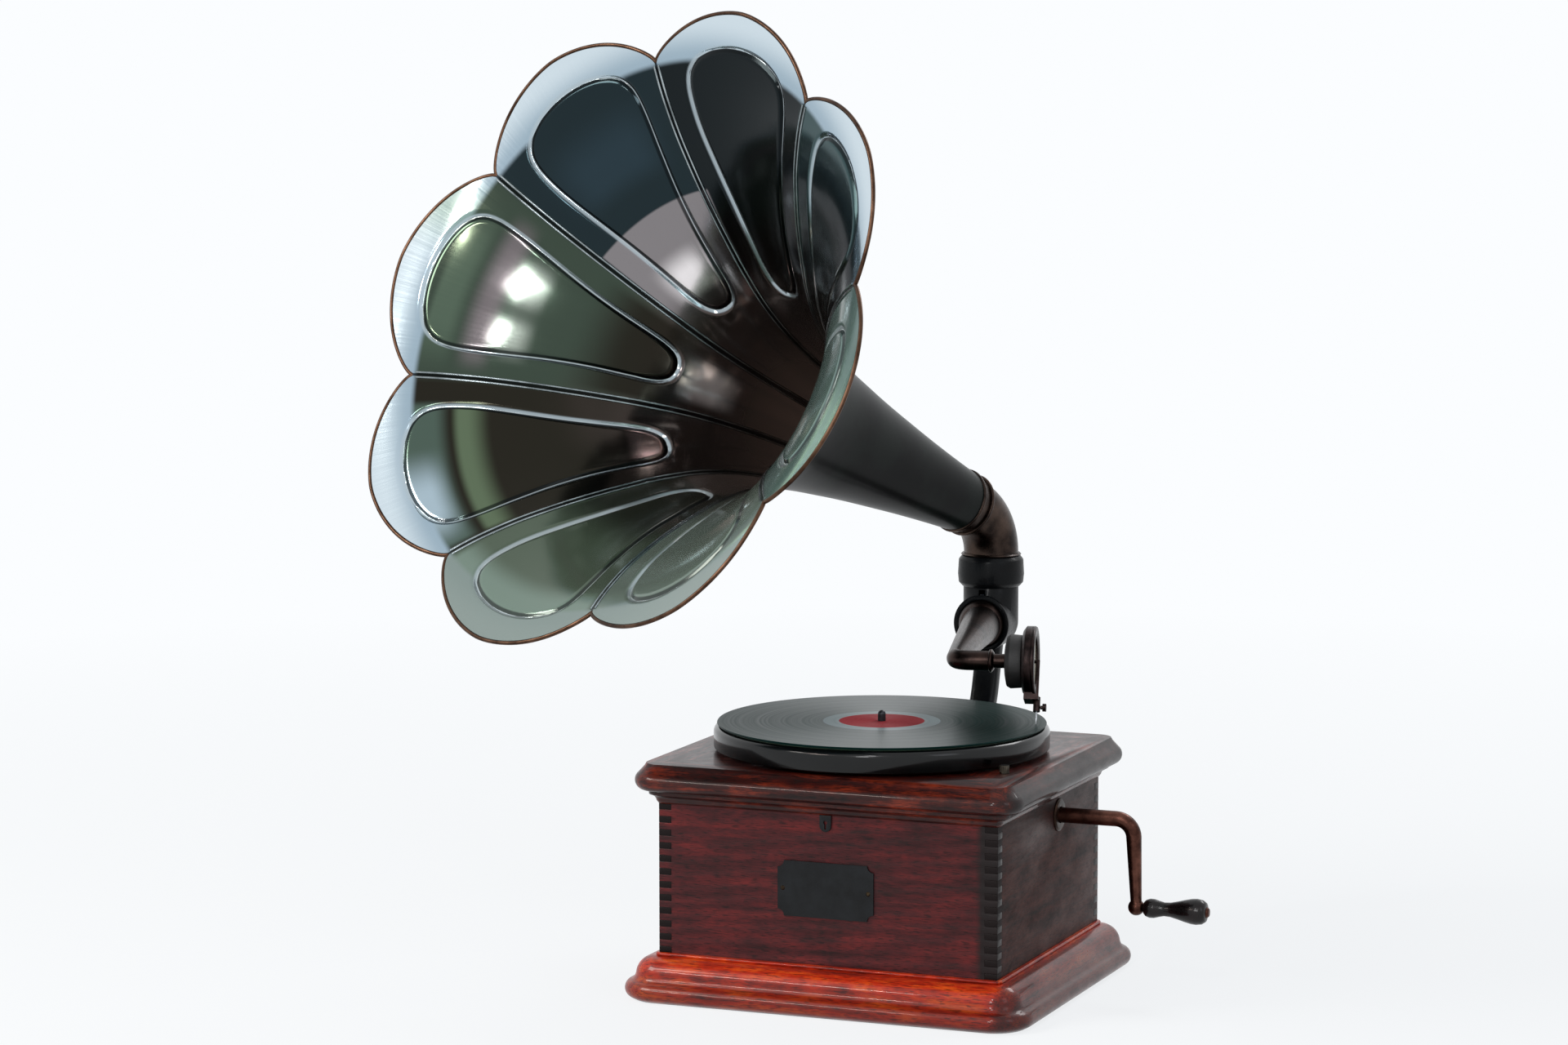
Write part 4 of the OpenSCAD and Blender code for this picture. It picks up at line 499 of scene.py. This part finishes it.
# Half-angle in degrees of the pressed bead, by its distance from the throat in millimetres
BEAD_LINE = [
    (335, 0), (337, 5), (343, 8), (352, 9.6), (365, 10.4), (400, 11.6), (430, 13.1),
    (455, 14.5), (475, 15.3), (490, 15.3), (499, 14.4), (505, 12), (508.5, 8), (510, 4), (510.5, 0),
]


def petal_reach(t):
    """How far the round end reaches past the notches, from 0 at a seam to 1 in the middle."""
    shoulder, roundness = 1.67, 0.72
    return (1 - np.abs(2 * t - 1) ** shoulder).clip(0) ** roundness


def gore_columns(count):
    """Places across the gore, closer together near the seams."""
    even = np.linspace(0, 1, count + 1)
    return 0.65 * even + 0.35 * (0.5 - 0.5 * np.cos(np.pi * even))


def rounded(points, times):
    """A closed line with its corners cut, again and again."""
    for _ in range(times):
        after = np.roll(points, -1, axis=0)
        points = np.stack([0.75 * points + 0.25 * after, 0.25 * points + 0.75 * after], 1).reshape(-1, 2)
    return points


def flat_gore():
    """The gore's flat pattern: X across from seam to seam, Y from the throat, and the bead's line at Z 1."""
    across = gore_columns(120)
    end = NOTCH_Z + TIP_FORE * petal_reach(across)
    # Coarse rows along the neck, and from here on fine ones that crowd towards the round end
    fine_from = 0.33
    rows = [np.full_like(across, z) for z in np.linspace(SLEEVE_END, fine_from, 41)]
    for s in np.linspace(0, 1, 151)[1:]:
        rows.append(fine_from + (end - fine_from) * (1.45 * s - 0.45 * s * s))
    points = [(x, y, 0) for row in rows for x, y in zip(across, row)]
    wide = len(across)
    faces = [
        (i * wide + j, i * wide + j + 1, (i + 1) * wide + j + 1, (i + 1) * wide + j)
        for i in range(len(rows) - 1) for j in range(wide - 1)
    ]
    right = [(0.5 + math.radians(a) / GORE_ANGLE, z / 1000) for z, a in BEAD_LINE]
    left = [(0.5 - math.radians(a) / GORE_ANGLE, z / 1000) for z, a in BEAD_LINE[-2:0:-1]]
    line = rounded(np.array(right + left), 3)
    start = len(points)
    points += [(x, y, 1) for x, y in line]
    edges = [(start + i, start + (i + 1) % len(line)) for i in range(len(line))]
    mesh = bpy.data.meshes.new("gore_pattern")
    mesh.from_pydata(points, edges, faces)
    # How far each point lies inside the bead's line, and how far from the nearest seam, in metres
    x, y, _ = np.array(points).T
    radius = np.interp(y / NOTCH_Z, *np.array(FLARE).T) * (NOTCH_R - THROAT_R) + THROAT_R
    beyond = -3
    half = np.interp(y * 1000, *np.array(BEAD_LINE).T, left=beyond, right=beyond)
    marks = {"inside": (np.radians(half) - np.abs(x - 0.5) * GORE_ANGLE) * radius,
             "from_seam": np.minimum(x, 1 - x) * GORE_ANGLE * radius}
    for label, values in marks.items():
        mesh.attributes.new(label, "FLOAT", "POINT").data.foreach_set("value", values)
    return mesh


def new_tree(name, sockets):
    """An empty Geometry Nodes tree with named inputs."""
    tree = bpy.data.node_groups.new(name, "GeometryNodeTree")
    for label, kind, value in sockets:
        item = tree.interface.new_socket(label, in_out="INPUT", socket_type="NodeSocket" + kind)
        if value is not None:
            item.default_value = value
    return tree


ROLL_INPUTS = [
    ("Length", "Float", PATTERN_END), ("Throat Radius", "Float", THROAT_R),
    ("Rim Radius", "Float", PATTERN_R), ("Gore Angle", "Float", GORE_ANGLE), ("Turn", "Float", 0.0),
]


def make_roll():
    """Rolls the flat pattern to the flare: where each of its points comes to lie."""
    tree = new_tree("roll_to_flare", ROLL_INPUTS + [("Aside", "Float", 0.0)])
    tree.interface.new_socket("Position", in_out="OUTPUT", socket_type="NodeSocketVector")
    given = add(tree, "NodeGroupInput").outputs
    flat = add(tree, "GeometryNodeInputPosition").outputs[0]
    part = add(tree, "ShaderNodeSeparateXYZ", {0: flat}).outputs
    share = add(tree, "ShaderNodeMath", {0: part[1], 1: given["Length"]}, operation="DIVIDE").outputs[0]
    curve = add(tree, "ShaderNodeFloatCurve", {"Value": share})
    line = curve.mapping.curves[0]
    full = PATTERN_R - THROAT_R
    knots = [(NOTCH_Z * f / PATTERN_END, (NOTCH_R - THROAT_R) * g / full) for f, g in FLARE]
    knots.append(((NOTCH_Z + TIP_FORE) / PATTERN_END, (NOTCH_R + TIP_OUT - THROAT_R) / full))
    line.points[0].location = knots[0]
    line.points[1].location = (1, 1)
    for knot in knots[1:]:
        line.points.new(*knot)
    curve.mapping.update()
    grown = add(tree, "ShaderNodeMapRange",
                {0: curve.outputs[0], 3: given["Throat Radius"], 4: given["Rim Radius"]})
    radius = grown.outputs[0]
    slid = add(tree, "ShaderNodeMath", {0: given["Aside"], 1: radius}, operation="DIVIDE").outputs[0]
    angle = add(tree, "ShaderNodeMath", {0: part[0], 1: given["Gore Angle"], 2: given["Turn"]},
                operation="MULTIPLY_ADD")
    angle = add(tree, "ShaderNodeMath", {0: angle.outputs[0], 1: slid}, operation="ADD").outputs[0]
    x = add(tree, "ShaderNodeMath", {0: angle}, operation="COSINE").outputs[0]
    y = add(tree, "ShaderNodeMath", {0: angle}, operation="SINE").outputs[0]
    x = add(tree, "ShaderNodeMath", {0: x, 1: radius}, operation="MULTIPLY").outputs[0]
    y = add(tree, "ShaderNodeMath", {0: y, 1: radius}, operation="MULTIPLY").outputs[0]
    place = add(tree, "ShaderNodeCombineXYZ", {0: x, 1: y, 2: part[1]}).outputs[0]
    add(tree, "NodeGroupOutput", {0: place})
    return tree


roll = make_roll()


def rolled(tree, given, aside=0.0):
    """The roll group inside another tree, fed from that tree's own inputs."""
    feed = {label: given[label] for label, _, _ in ROLL_INPUTS}
    feed["Aside"] = aside
    group = tree.nodes.new("GeometryNodeGroup")
    group.node_tree = roll
    for label, value in feed.items():
        if isinstance(value, bpy.types.NodeSocket):
            tree.links.new(value, group.inputs[label])
        else:
            group.inputs[label].default_value = value
    return group.outputs[0]


def make_press():
    """Rolls a gore and presses the bead into it."""
    tree = new_tree("pressed_gore", [("Geometry", "Geometry", None)] + ROLL_INPUTS + [
        ("Bead Width", "Float", 0.0050), ("Bead Height", "Float", 0.0026), ("Material", "Material", None)])
    tree.interface.new_socket("Geometry", in_out="OUTPUT", socket_type="NodeSocketGeometry")
    given = add(tree, "NodeGroupInput").outputs
    flat = add(tree, "GeometryNodeInputPosition").outputs[0]
    part = add(tree, "ShaderNodeSeparateXYZ", {0: flat}).outputs
    is_line = add(tree, "FunctionNodeCompare", {0: part[2], 1: 0.5},
                  data_type="FLOAT", operation="GREATER_THAN")
    across = add(tree, "GeometryNodeStoreNamedAttribute",
                 {"Geometry": given["Geometry"], "Name": "across", "Value": part[0]},
                 data_type="FLOAT", domain="POINT")
    along = add(tree, "GeometryNodeStoreNamedAttribute",
                {"Geometry": across.outputs[0], "Name": "along", "Value": part[1]},
                data_type="FLOAT", domain="POINT")
    turned = add(tree, "ShaderNodeMath", {0: part[0], 1: given["Gore Angle"], 2: given["Turn"]},
                 operation="MULTIPLY_ADD")
    around = add(tree, "GeometryNodeStoreNamedAttribute",
                 {"Geometry": along.outputs[0], "Name": "around", "Value": turned.outputs[0]},
                 data_type="FLOAT", domain="POINT")
    split = add(tree, "GeometryNodeSeparateGeometry", {0: around.outputs[0], 1: is_line.outputs[0]},
                domain="POINT")
    place = rolled(tree, given)
    line = add(tree, "GeometryNodeSetPosition", {"Geometry": split.outputs[0], "Position": place}).outputs[0]
    sheet = add(tree, "GeometryNodeSetPosition", {"Geometry": split.outputs[1], "Position": place}).outputs[0]
    near = add(tree, "GeometryNodeProximity", {0: line}, target_element="EDGES").outputs["Distance"]
    share = add(tree, "ShaderNodeMapRange", {0: near, 1: given["Bead Width"], 2: 0.0},
                interpolation_type="SMOOTHSTEP")
    marked = add(tree, "GeometryNodeStoreNamedAttribute",
                 {"Geometry": sheet, "Name": "bead", "Value": share.outputs[0]},
                 data_type="FLOAT", domain="POINT").outputs[0]
    normal = add(tree, "GeometryNodeInputNormal").outputs[0]
    rise = add(tree, "ShaderNodeMath", {0: share.outputs[0], 1: given["Bead Height"]},
               operation="MULTIPLY").outputs[0]
    lift = add(tree, "ShaderNodeVectorMath", {0: normal, "Scale": rise}, operation="SCALE").outputs[0]
    pressed = add(tree, "GeometryNodeSetPosition", {"Geometry": marked, "Offset": lift}).outputs[0]
    real = add(tree, "GeometryNodeRealizeInstances", {0: pressed}).outputs[0]
    done = add(tree, "GeometryNodeSetMaterial", {"Geometry": real, "Material": given["Material"]}).outputs[0]
    add(tree, "NodeGroupOutput", {0: done})
    return tree


def make_rod(name, lanes):
    """Lays round rods along a pattern line that is rolled to the flare, once for each gore."""
    tree = new_tree(name, [("Geometry", "Geometry", None)] + ROLL_INPUTS + [
        ("Rod Radius", "Float", RIM_R), ("Copies", "Int", GORES), ("Material", "Material", None)])
    tree.interface.new_socket("Geometry", in_out="OUTPUT", socket_type="NodeSocketGeometry")
    given = add(tree, "NodeGroupInput").outputs
    profile = add(tree, "GeometryNodeCurvePrimitiveCircle", {"Resolution": 10, "Radius": given["Rod Radius"]})
    gather = add(tree, "GeometryNodeJoinGeometry")
    for aside in lanes:
        bent = add(tree, "GeometryNodeSetPosition", {"Geometry": given["Geometry"],
                                                     "Position": rolled(tree, given, aside)}).outputs[0]
        path = add(tree, "GeometryNodeMeshToCurve", {0: bent}).outputs[0]
        rod = add(tree, "GeometryNodeCurveToMesh", {"Curve": path, "Profile Curve": profile.outputs[0],
                                                    "Fill Caps": True}).outputs[0]
        tree.links.new(rod, gather.inputs[0])
    spots = add(tree, "GeometryNodeMeshLine", {"Count": given["Copies"], "Offset": (0, 0, 0)}).outputs[0]
    number = add(tree, "GeometryNodeInputIndex").outputs[0]
    turn = add(tree, "ShaderNodeMath", {0: number, 1: given["Gore Angle"]}, operation="MULTIPLY").outputs[0]
    spin = add(tree, "ShaderNodeCombineXYZ", {2: turn}).outputs[0]
    ring = add(tree, "GeometryNodeInstanceOnPoints",
               {"Points": spots, "Instance": gather.outputs[0], "Rotation": spin})
    real = add(tree, "GeometryNodeRealizeInstances", {0: ring.outputs[0]}).outputs[0]
    done = add(tree, "GeometryNodeSetMaterial", {"Geometry": real, "Material": given["Material"]}).outputs[0]
    add(tree, "NodeGroupOutput", {0: done})
    return tree


# The horn's own frame: +Z from the throat towards the mouth. From the collar it turns about the
# upright axis, and its elbow then bends it forwards.
COLLAR = (0, 0.296, 0.3614)
YAW, BEND, BEND_R = math.radians(-21.1), math.radians(67.5), 0.052
HORN_FRAME = (
    Matrix.Translation(COLLAR) @ Matrix.Rotation(YAW, 4, "Z")
    @ Matrix.Translation((0, -BEND_R * (1 - math.cos(BEND)), BEND_R * math.sin(BEND)))
    @ Matrix.Rotation(BEND, 4, "X")
)


def horn_piece(name, mesh, tree, settings, node, wall=0.0, outer=None):
    """A horn piece: its tree's result, made a plain mesh in the object's frame."""
    piece = bpy.data.objects.new(name, mesh)
    scene.collection.objects.link(piece)
    nodes = piece.modifiers.new("shape", "NODES")
    nodes.node_group = tree
    for item in tree.interface.items_tree:
        if item.in_out == "INPUT" and item.name in settings:
            nodes[item.identifier] = settings[item.name]
    settle(piece)
    if wall:
        # The rolled surface is the outer one, and the sheet's thickness goes inwards
        inner = piece.data.materials[0]
        piece.data.materials[0] = outer
        piece.data.materials.append(inner)
        solid = piece.modifiers.new("sheet", "SOLIDIFY")
        solid.thickness = wall
        solid.offset = -1
        solid.material_offset = 1
        solid.material_offset_rim = 1
        settle(piece)
    piece.data.transform(HORN_FRAME)
    piece.data.shade_smooth()
    piece.data.set_sharp_from_angle(angle=math.radians(50))
    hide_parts(node)
    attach(piece, "horn")
    return piece


def step_up(tree, value, start, stop):
    """0 up to the first value and 1 from the second one, or the other way round."""
    return add(tree, "ShaderNodeMapRange", {0: value, 1: start, 2: stop},
               interpolation_type="SMOOTHSTEP").outputs[0]


def blend(tree, share, under, over, part=1.0):
    """Lays one colour over another by a share."""
    if part < 1:
        share = add(tree, "ShaderNodeMath", {0: share, 1: part}, operation="MULTIPLY").outputs[0]
    over = linear(over) if isinstance(over, str) else over
    return add(tree, "ShaderNodeMix", {0: share, 6: under, 7: over}, data_type="RGBA").outputs[2]


def patch(tree, around, along, turns, reach, soft):
    """1 in a patch of the sheet between two turns in degrees and two distances from the throat."""
    turn_soft, low_soft, high_soft = math.radians(soft[0]), soft[1], soft[2]
    sides = [
        step_up(tree, around, math.radians(turns[0]), math.radians(turns[0]) + turn_soft),
        step_up(tree, around, math.radians(turns[1]), math.radians(turns[1]) - turn_soft),
        step_up(tree, along, reach[0], reach[0] + low_soft),
        step_up(tree, along, reach[1], reach[1] - high_soft),
    ]
    share = sides[0]
    for side in sides[1:]:
        share = add(tree, "ShaderNodeMath", {0: share, 1: side}, operation="MULTIPLY").outputs[0]
    return share


# Painted reflections that tone the eight gores, from the one at the right on, against the clock
GORE_REFLECTIONS = ("#3a4f51", "#202527", "#253034", "#3f4b41", "#2a2822", "#4c5b4c", "#6e7e75", "#5f7672")
# Painted reflections, light and dark patches: turns in degrees, distances from the throat in metres, the
# edges' softness, colour and strength
PAINTED_REFLECTIONS = (
    ((100, 146.5), (0.335, 0.426), (1.0, 0.04, 0.002), "#8d888a", 0.85),
    ((112, 143), (0.352, 0.397), (13, 0.012, 0.022), "#f4eff0", 0.9),
    ((156, 188), (0.27, 0.335), (10, 0.03, 0.02), "#e2dfdf", 0.95),
    ((203, 226), (0.338, 0.37), (7, 0.008, 0.014), "#c9aea8", 0.85),
    ((198, 237), (0.484, 0.514), (2, 0.01, 0.004), "#56695f", 0.8),
    ((198, 237), (0.46, 0.485), (2, 0.016, 0.006), "#72866a", 0.65),
    ((209, 237), (0.487, 0.514), (12, 0.014, 0.004), "#b4c8d4", 0.85),
    ((150, 193), (0.484, 0.506), (14, 0.01, 0.004), "#667a68", 0.5),
    ((149, 192), (0.462, 0.488), (8, 0.012, 0.012), "#8d7f86", 0.5),
    ((156, 174), (0.438, 0.470), (7, 0.014, 0.014), "#a3aba2", 0.6),
    ((171, 188), (0.438, 0.470), (7, 0.014, 0.014), "#a3aba2", 0.6),
    ((148, 193), (0.33, 0.42), (5, 0.02, 0.045), "#221f19", 0.85),
    ((238, 282), (0.33, 0.45), (2, 0.01, 0.05), "#1b1d18", 0.85),
    ((238, 282), (0.485, 0.514), (2, 0.016, 0.004), "#7f958b", 0.65),
    ((283, 327), (0.33, 0.42), (2, 0.01, 0.05), "#3a433d", 0.6),
    ((104, 145), (0.44, 0.50), (14, 0.02, 0.03), "#34454f", 0.5),
)


def nickelled_sheet(name):
    """Polished nickel with painted reflections: a tone of its own on every gore, brown at the throat and pale
    at the lip, with light and dark patches.
    """
    material, tree, shader = new_material(name, {})
    place = add(tree, "ShaderNodeTexCoord").outputs["Object"]
    along, across, around, inside, seam, bead = [
        add(tree, "ShaderNodeAttribute", attribute_name=label).outputs["Fac"]
        for label in ("along", "across", "around", "inside", "from_seam", "bead")]
    cloud = add(tree, "ShaderNodeTexNoise", {"Vector": place, "Scale": 8, "Detail": 2, "Roughness": 0.5})
    drift = add(tree, "ShaderNodeMapRange",
                {0: cloud.outputs[0], 1: 0.3, 2: 0.7, 3: -0.02, 4: 0.02}).outputs[0]
    depth = add(tree, "ShaderNodeMath", {0: along, 1: drift}, operation="ADD").outputs[0]
    # Painted reflection tone of each gore from the first seam on, and a quick change from one to the next
    ramp = add(tree, "ShaderNodeValToRGB")
    tones = ramp.color_ramp.elements
    tones[0].position, tones[0].color = 0.0, linear(GORE_REFLECTIONS[-1])
    tones[1].position, tones[1].color = 1.0, linear(GORE_REFLECTIONS[-1])
    for k in range(GORES):
        seam_at = (FIRST_SEAM + k * GORE_ANGLE) / (2 * math.pi)
        tones.new(seam_at - 0.002).color = linear(GORE_REFLECTIONS[k - 1])
        tones.new(seam_at + 0.002).color = linear(GORE_REFLECTIONS[k])
    turned = add(tree, "ShaderNodeMath", {0: around, 1: 1 / (2 * math.pi)}, operation="MULTIPLY").outputs[0]
    tree.links.new(add(tree, "ShaderNodeMath", {0: turned}, operation="FRACT").outputs[0], ramp.inputs[0])
    deep = blend(tree, step_up(tree, depth, 0.16, 0.32), linear("#75645c"), "#463e3b")
    colour = blend(tree, step_up(tree, depth, 0.33, 0.42), deep, ramp.outputs[0])
    # Painted reflections: light and dark patches on the sheet
    for turns, reach, soft, code, part in PAINTED_REFLECTIONS:
        colour = blend(tree, patch(tree, around, along, turns, reach, soft), colour, code, part)
    # The lip outside the bead's line: a pale painted reflection
    at_lip, off_line = step_up(tree, along, 0.5025, 0.506), step_up(tree, inside, 0.001, -0.001)
    lip = add(tree, "ShaderNodeMath", {0: at_lip, 1: off_line}, operation="MULTIPLY").outputs[0]
    lip_reflection = blend(tree, step_up(tree, along, 0.506, 0.52), linear("#9fb3c0"), "#d0dde4")
    # The lip's painted reflection turns green by the left seam, greyer past the sixth seam and darker past
    # the eighth
    sixth_seam = (math.radians(236), math.radians(239))
    eighth_seam = (math.radians(326), math.radians(329))
    greenish_lip_reflection = patch(tree, around, along, (145, 170), (0.49, 0.53), (16, 0.005, 0.002))
    lip_reflection = blend(tree, greenish_lip_reflection, lip_reflection, "#86a08f", 0.85)
    lip_reflection = blend(tree, step_up(tree, around, *sixth_seam), lip_reflection, "#7a8983", 0.9)
    lip_reflection = blend(tree, step_up(tree, around, *eighth_seam), lip_reflection, "#58716d", 0.9)
    colour = blend(tree, lip, colour, lip_reflection)
    # The bead: painted highlights outside its line and on the crest, painted shade in the crease within
    raised, outside = step_up(tree, bead, 0.1, 0.5), step_up(tree, inside, 0.0, -0.0012)
    outer = add(tree, "ShaderNodeMath", {0: raised, 1: outside}, operation="MULTIPLY").outputs[0]
    foot, within = step_up(tree, bead, 0.08, 0.3), step_up(tree, inside, 0.0006, 0.0018)
    crease = add(tree, "ShaderNodeMath", {0: foot, 1: within}, operation="MULTIPLY").outputs[0]
    colour = blend(tree, outer, colour, "#b4c2c9", 0.7)
    colour = blend(tree, step_up(tree, bead, 0.8, 0.97), colour, "#c3ced3", 0.6)
    colour = blend(tree, crease, colour, "#14181a", 0.8)
    colour = blend(tree, step_up(tree, seam, 0.0017, 0.0009), colour, "#0f1112", 0.9)
    tree.links.new(colour, shader.inputs["Base Color"])
    # The throat and the lower gores are duller
    deep_dull = add(tree, "ShaderNodeMapRange", {0: along, 1: 0.2, 2: 0.36, 3: 0.5, 4: 1.0}).outputs[0]
    low_dull = add(tree, "ShaderNodeMapRange",
                   {0: around, 1: sixth_seam[0], 2: sixth_seam[1], 3: 1.0, 4: 0.5}).outputs[0]
    dull = add(tree, "ShaderNodeMath", {0: deep_dull, 1: low_dull}, operation="MULTIPLY").outputs[0]
    tree.links.new(dull, shader.inputs["Metallic"])
    # Polishing marks 0.8 mm wide that run from throat to rim
    mark_at = add(tree, "ShaderNodeCombineXYZ", {0: across, 1: along}).outputs[0]
    mark_at = add(tree, "ShaderNodeVectorMath", {0: mark_at, 1: (220, 9, 1)}, operation="MULTIPLY").outputs[0]
    marks = add(tree, "ShaderNodeTexNoise",
                {"Vector": mark_at, "Scale": 1, "Detail": 3, "Roughness": 0.6}).outputs[0]
    rough = add(tree, "ShaderNodeMapRange", {0: marks, 1: 0.3, 2: 0.7, 3: 0.09, 4: 0.16}).outputs[0]
    tree.links.new(rough, shader.inputs["Roughness"])
    bump = add(tree, "ShaderNodeBump", {"Strength": 0.06, "Distance": 0.0004, "Height": cloud.outputs[0]})
    tree.links.new(bump.outputs[0], shader.inputs["Normal"])
    return material


def lacquered_outside(name):
    """Near-black lacquer on the neck that thins out to bare pale nickel towards the rim."""
    finish = {"Specular IOR Level": 0.06, "Coat Weight": 0.03, "Coat Roughness": 0.08}
    material, tree, shader = new_material(name, finish)
    place = add(tree, "ShaderNodeTexCoord").outputs["Object"]
    along = add(tree, "ShaderNodeAttribute", attribute_name="along").outputs["Fac"]
    cloud = add(tree, "ShaderNodeTexNoise",
                {"Vector": place, "Scale": 14, "Detail": 3, "Roughness": 0.55}).outputs[0]
    drift = add(tree, "ShaderNodeMapRange", {0: cloud, 1: 0.3, 2: 0.7, 3: -0.012, 4: 0.012}).outputs[0]
    depth = add(tree, "ShaderNodeMath", {0: along, 1: drift}, operation="ADD").outputs[0]
    bare = step_up(tree, depth, 0.44, 0.50)
    lacquer = blend(tree, step_up(tree, cloud, 0.4, 0.6), linear("#090b0c"), "#121816")
    nickel = blend(tree, step_up(tree, depth, 0.49, 0.515), linear("#5e7078"), "#93a5ac")
    tree.links.new(blend(tree, bare, lacquer, nickel), shader.inputs["Base Color"])
    tree.links.new(bare, shader.inputs["Metallic"])
    rough = add(tree, "ShaderNodeMapRange", {0: depth, 1: 0.44, 2: 0.5, 3: 0.32, 4: 0.2}).outputs[0]
    tree.links.new(rough, shader.inputs["Roughness"])
    return material


# A dark mirror with painted reflections: a different green, blue or brown on each gore, with pale lips,
# painted highlights on the beads and painted shade in their creases
inside_finish = nickelled_sheet("nickel_sheet_painted_reflections")
# Soft green-black neck that gives way to grey metal behind the lips
outside_finish = lacquered_outside("black_lacquer_on_nickel")
# A thin bright line on each fold, where polishing has reached it
seam_finish = mottled("worn_nickel_fold", "#6a7274", "#a7b1b4", 1.0, 0.2, 0.03)
# A brown outline round the whole rim
edge_finish = mottled("wired_edge_brown_lacquer", "#33241c", "#5b4436", 1.0, 0.34, 0.02)

gore = flat_gore()
press = make_press()
for k in range(GORES):
    horn_piece(f"petal_sheet_{k + 1}", gore.copy(), press,
               {"Turn": FIRST_SEAM + k * GORE_ANGLE, "Material": inside_finish},
               f"petal_{k + 1}", SHEET, outside_finish)


def pattern_line(name, points):
    """A line on the flat pattern, as loose edges."""
    mesh = bpy.data.meshes.new(name)
    mesh.from_pydata([(x, y, 0) for x, y in points], [(i, i + 1) for i in range(len(points) - 1)], [])
    return mesh


# Seams: each fold shows inside as two thin raised lines, drawn as two rods, and outside as a flat rib, which
# is not drawn.
seam_line = pattern_line("seam_pattern", [(0, z) for z in np.linspace(SLEEVE_END, NOTCH_Z, 90)])
horn_piece("seam_folds", seam_line, make_rod("folded_seams", (-FOLD_ASIDE, FOLD_ASIDE)),
           {"Turn": FIRST_SEAM, "Throat Radius": THROAT_R - SHEET, "Rim Radius": 0.2998,
            "Rod Radius": FOLD_R, "Material": seam_finish}, "horn_seams")

# Rim: the sheet is rolled round a wire along every petal.
across = gore_columns(64)
rim_line = pattern_line("rim_pattern", list(zip(across, NOTCH_Z + TIP_FORE * petal_reach(across) + 0.0007)))
horn_piece("rolled_rim", rim_line, make_rod("rolled_edge", (0.0,)),
           {"Turn": FIRST_SEAM, "Rod Radius": RIM_R, "Material": edge_finish}, "rim_wire")
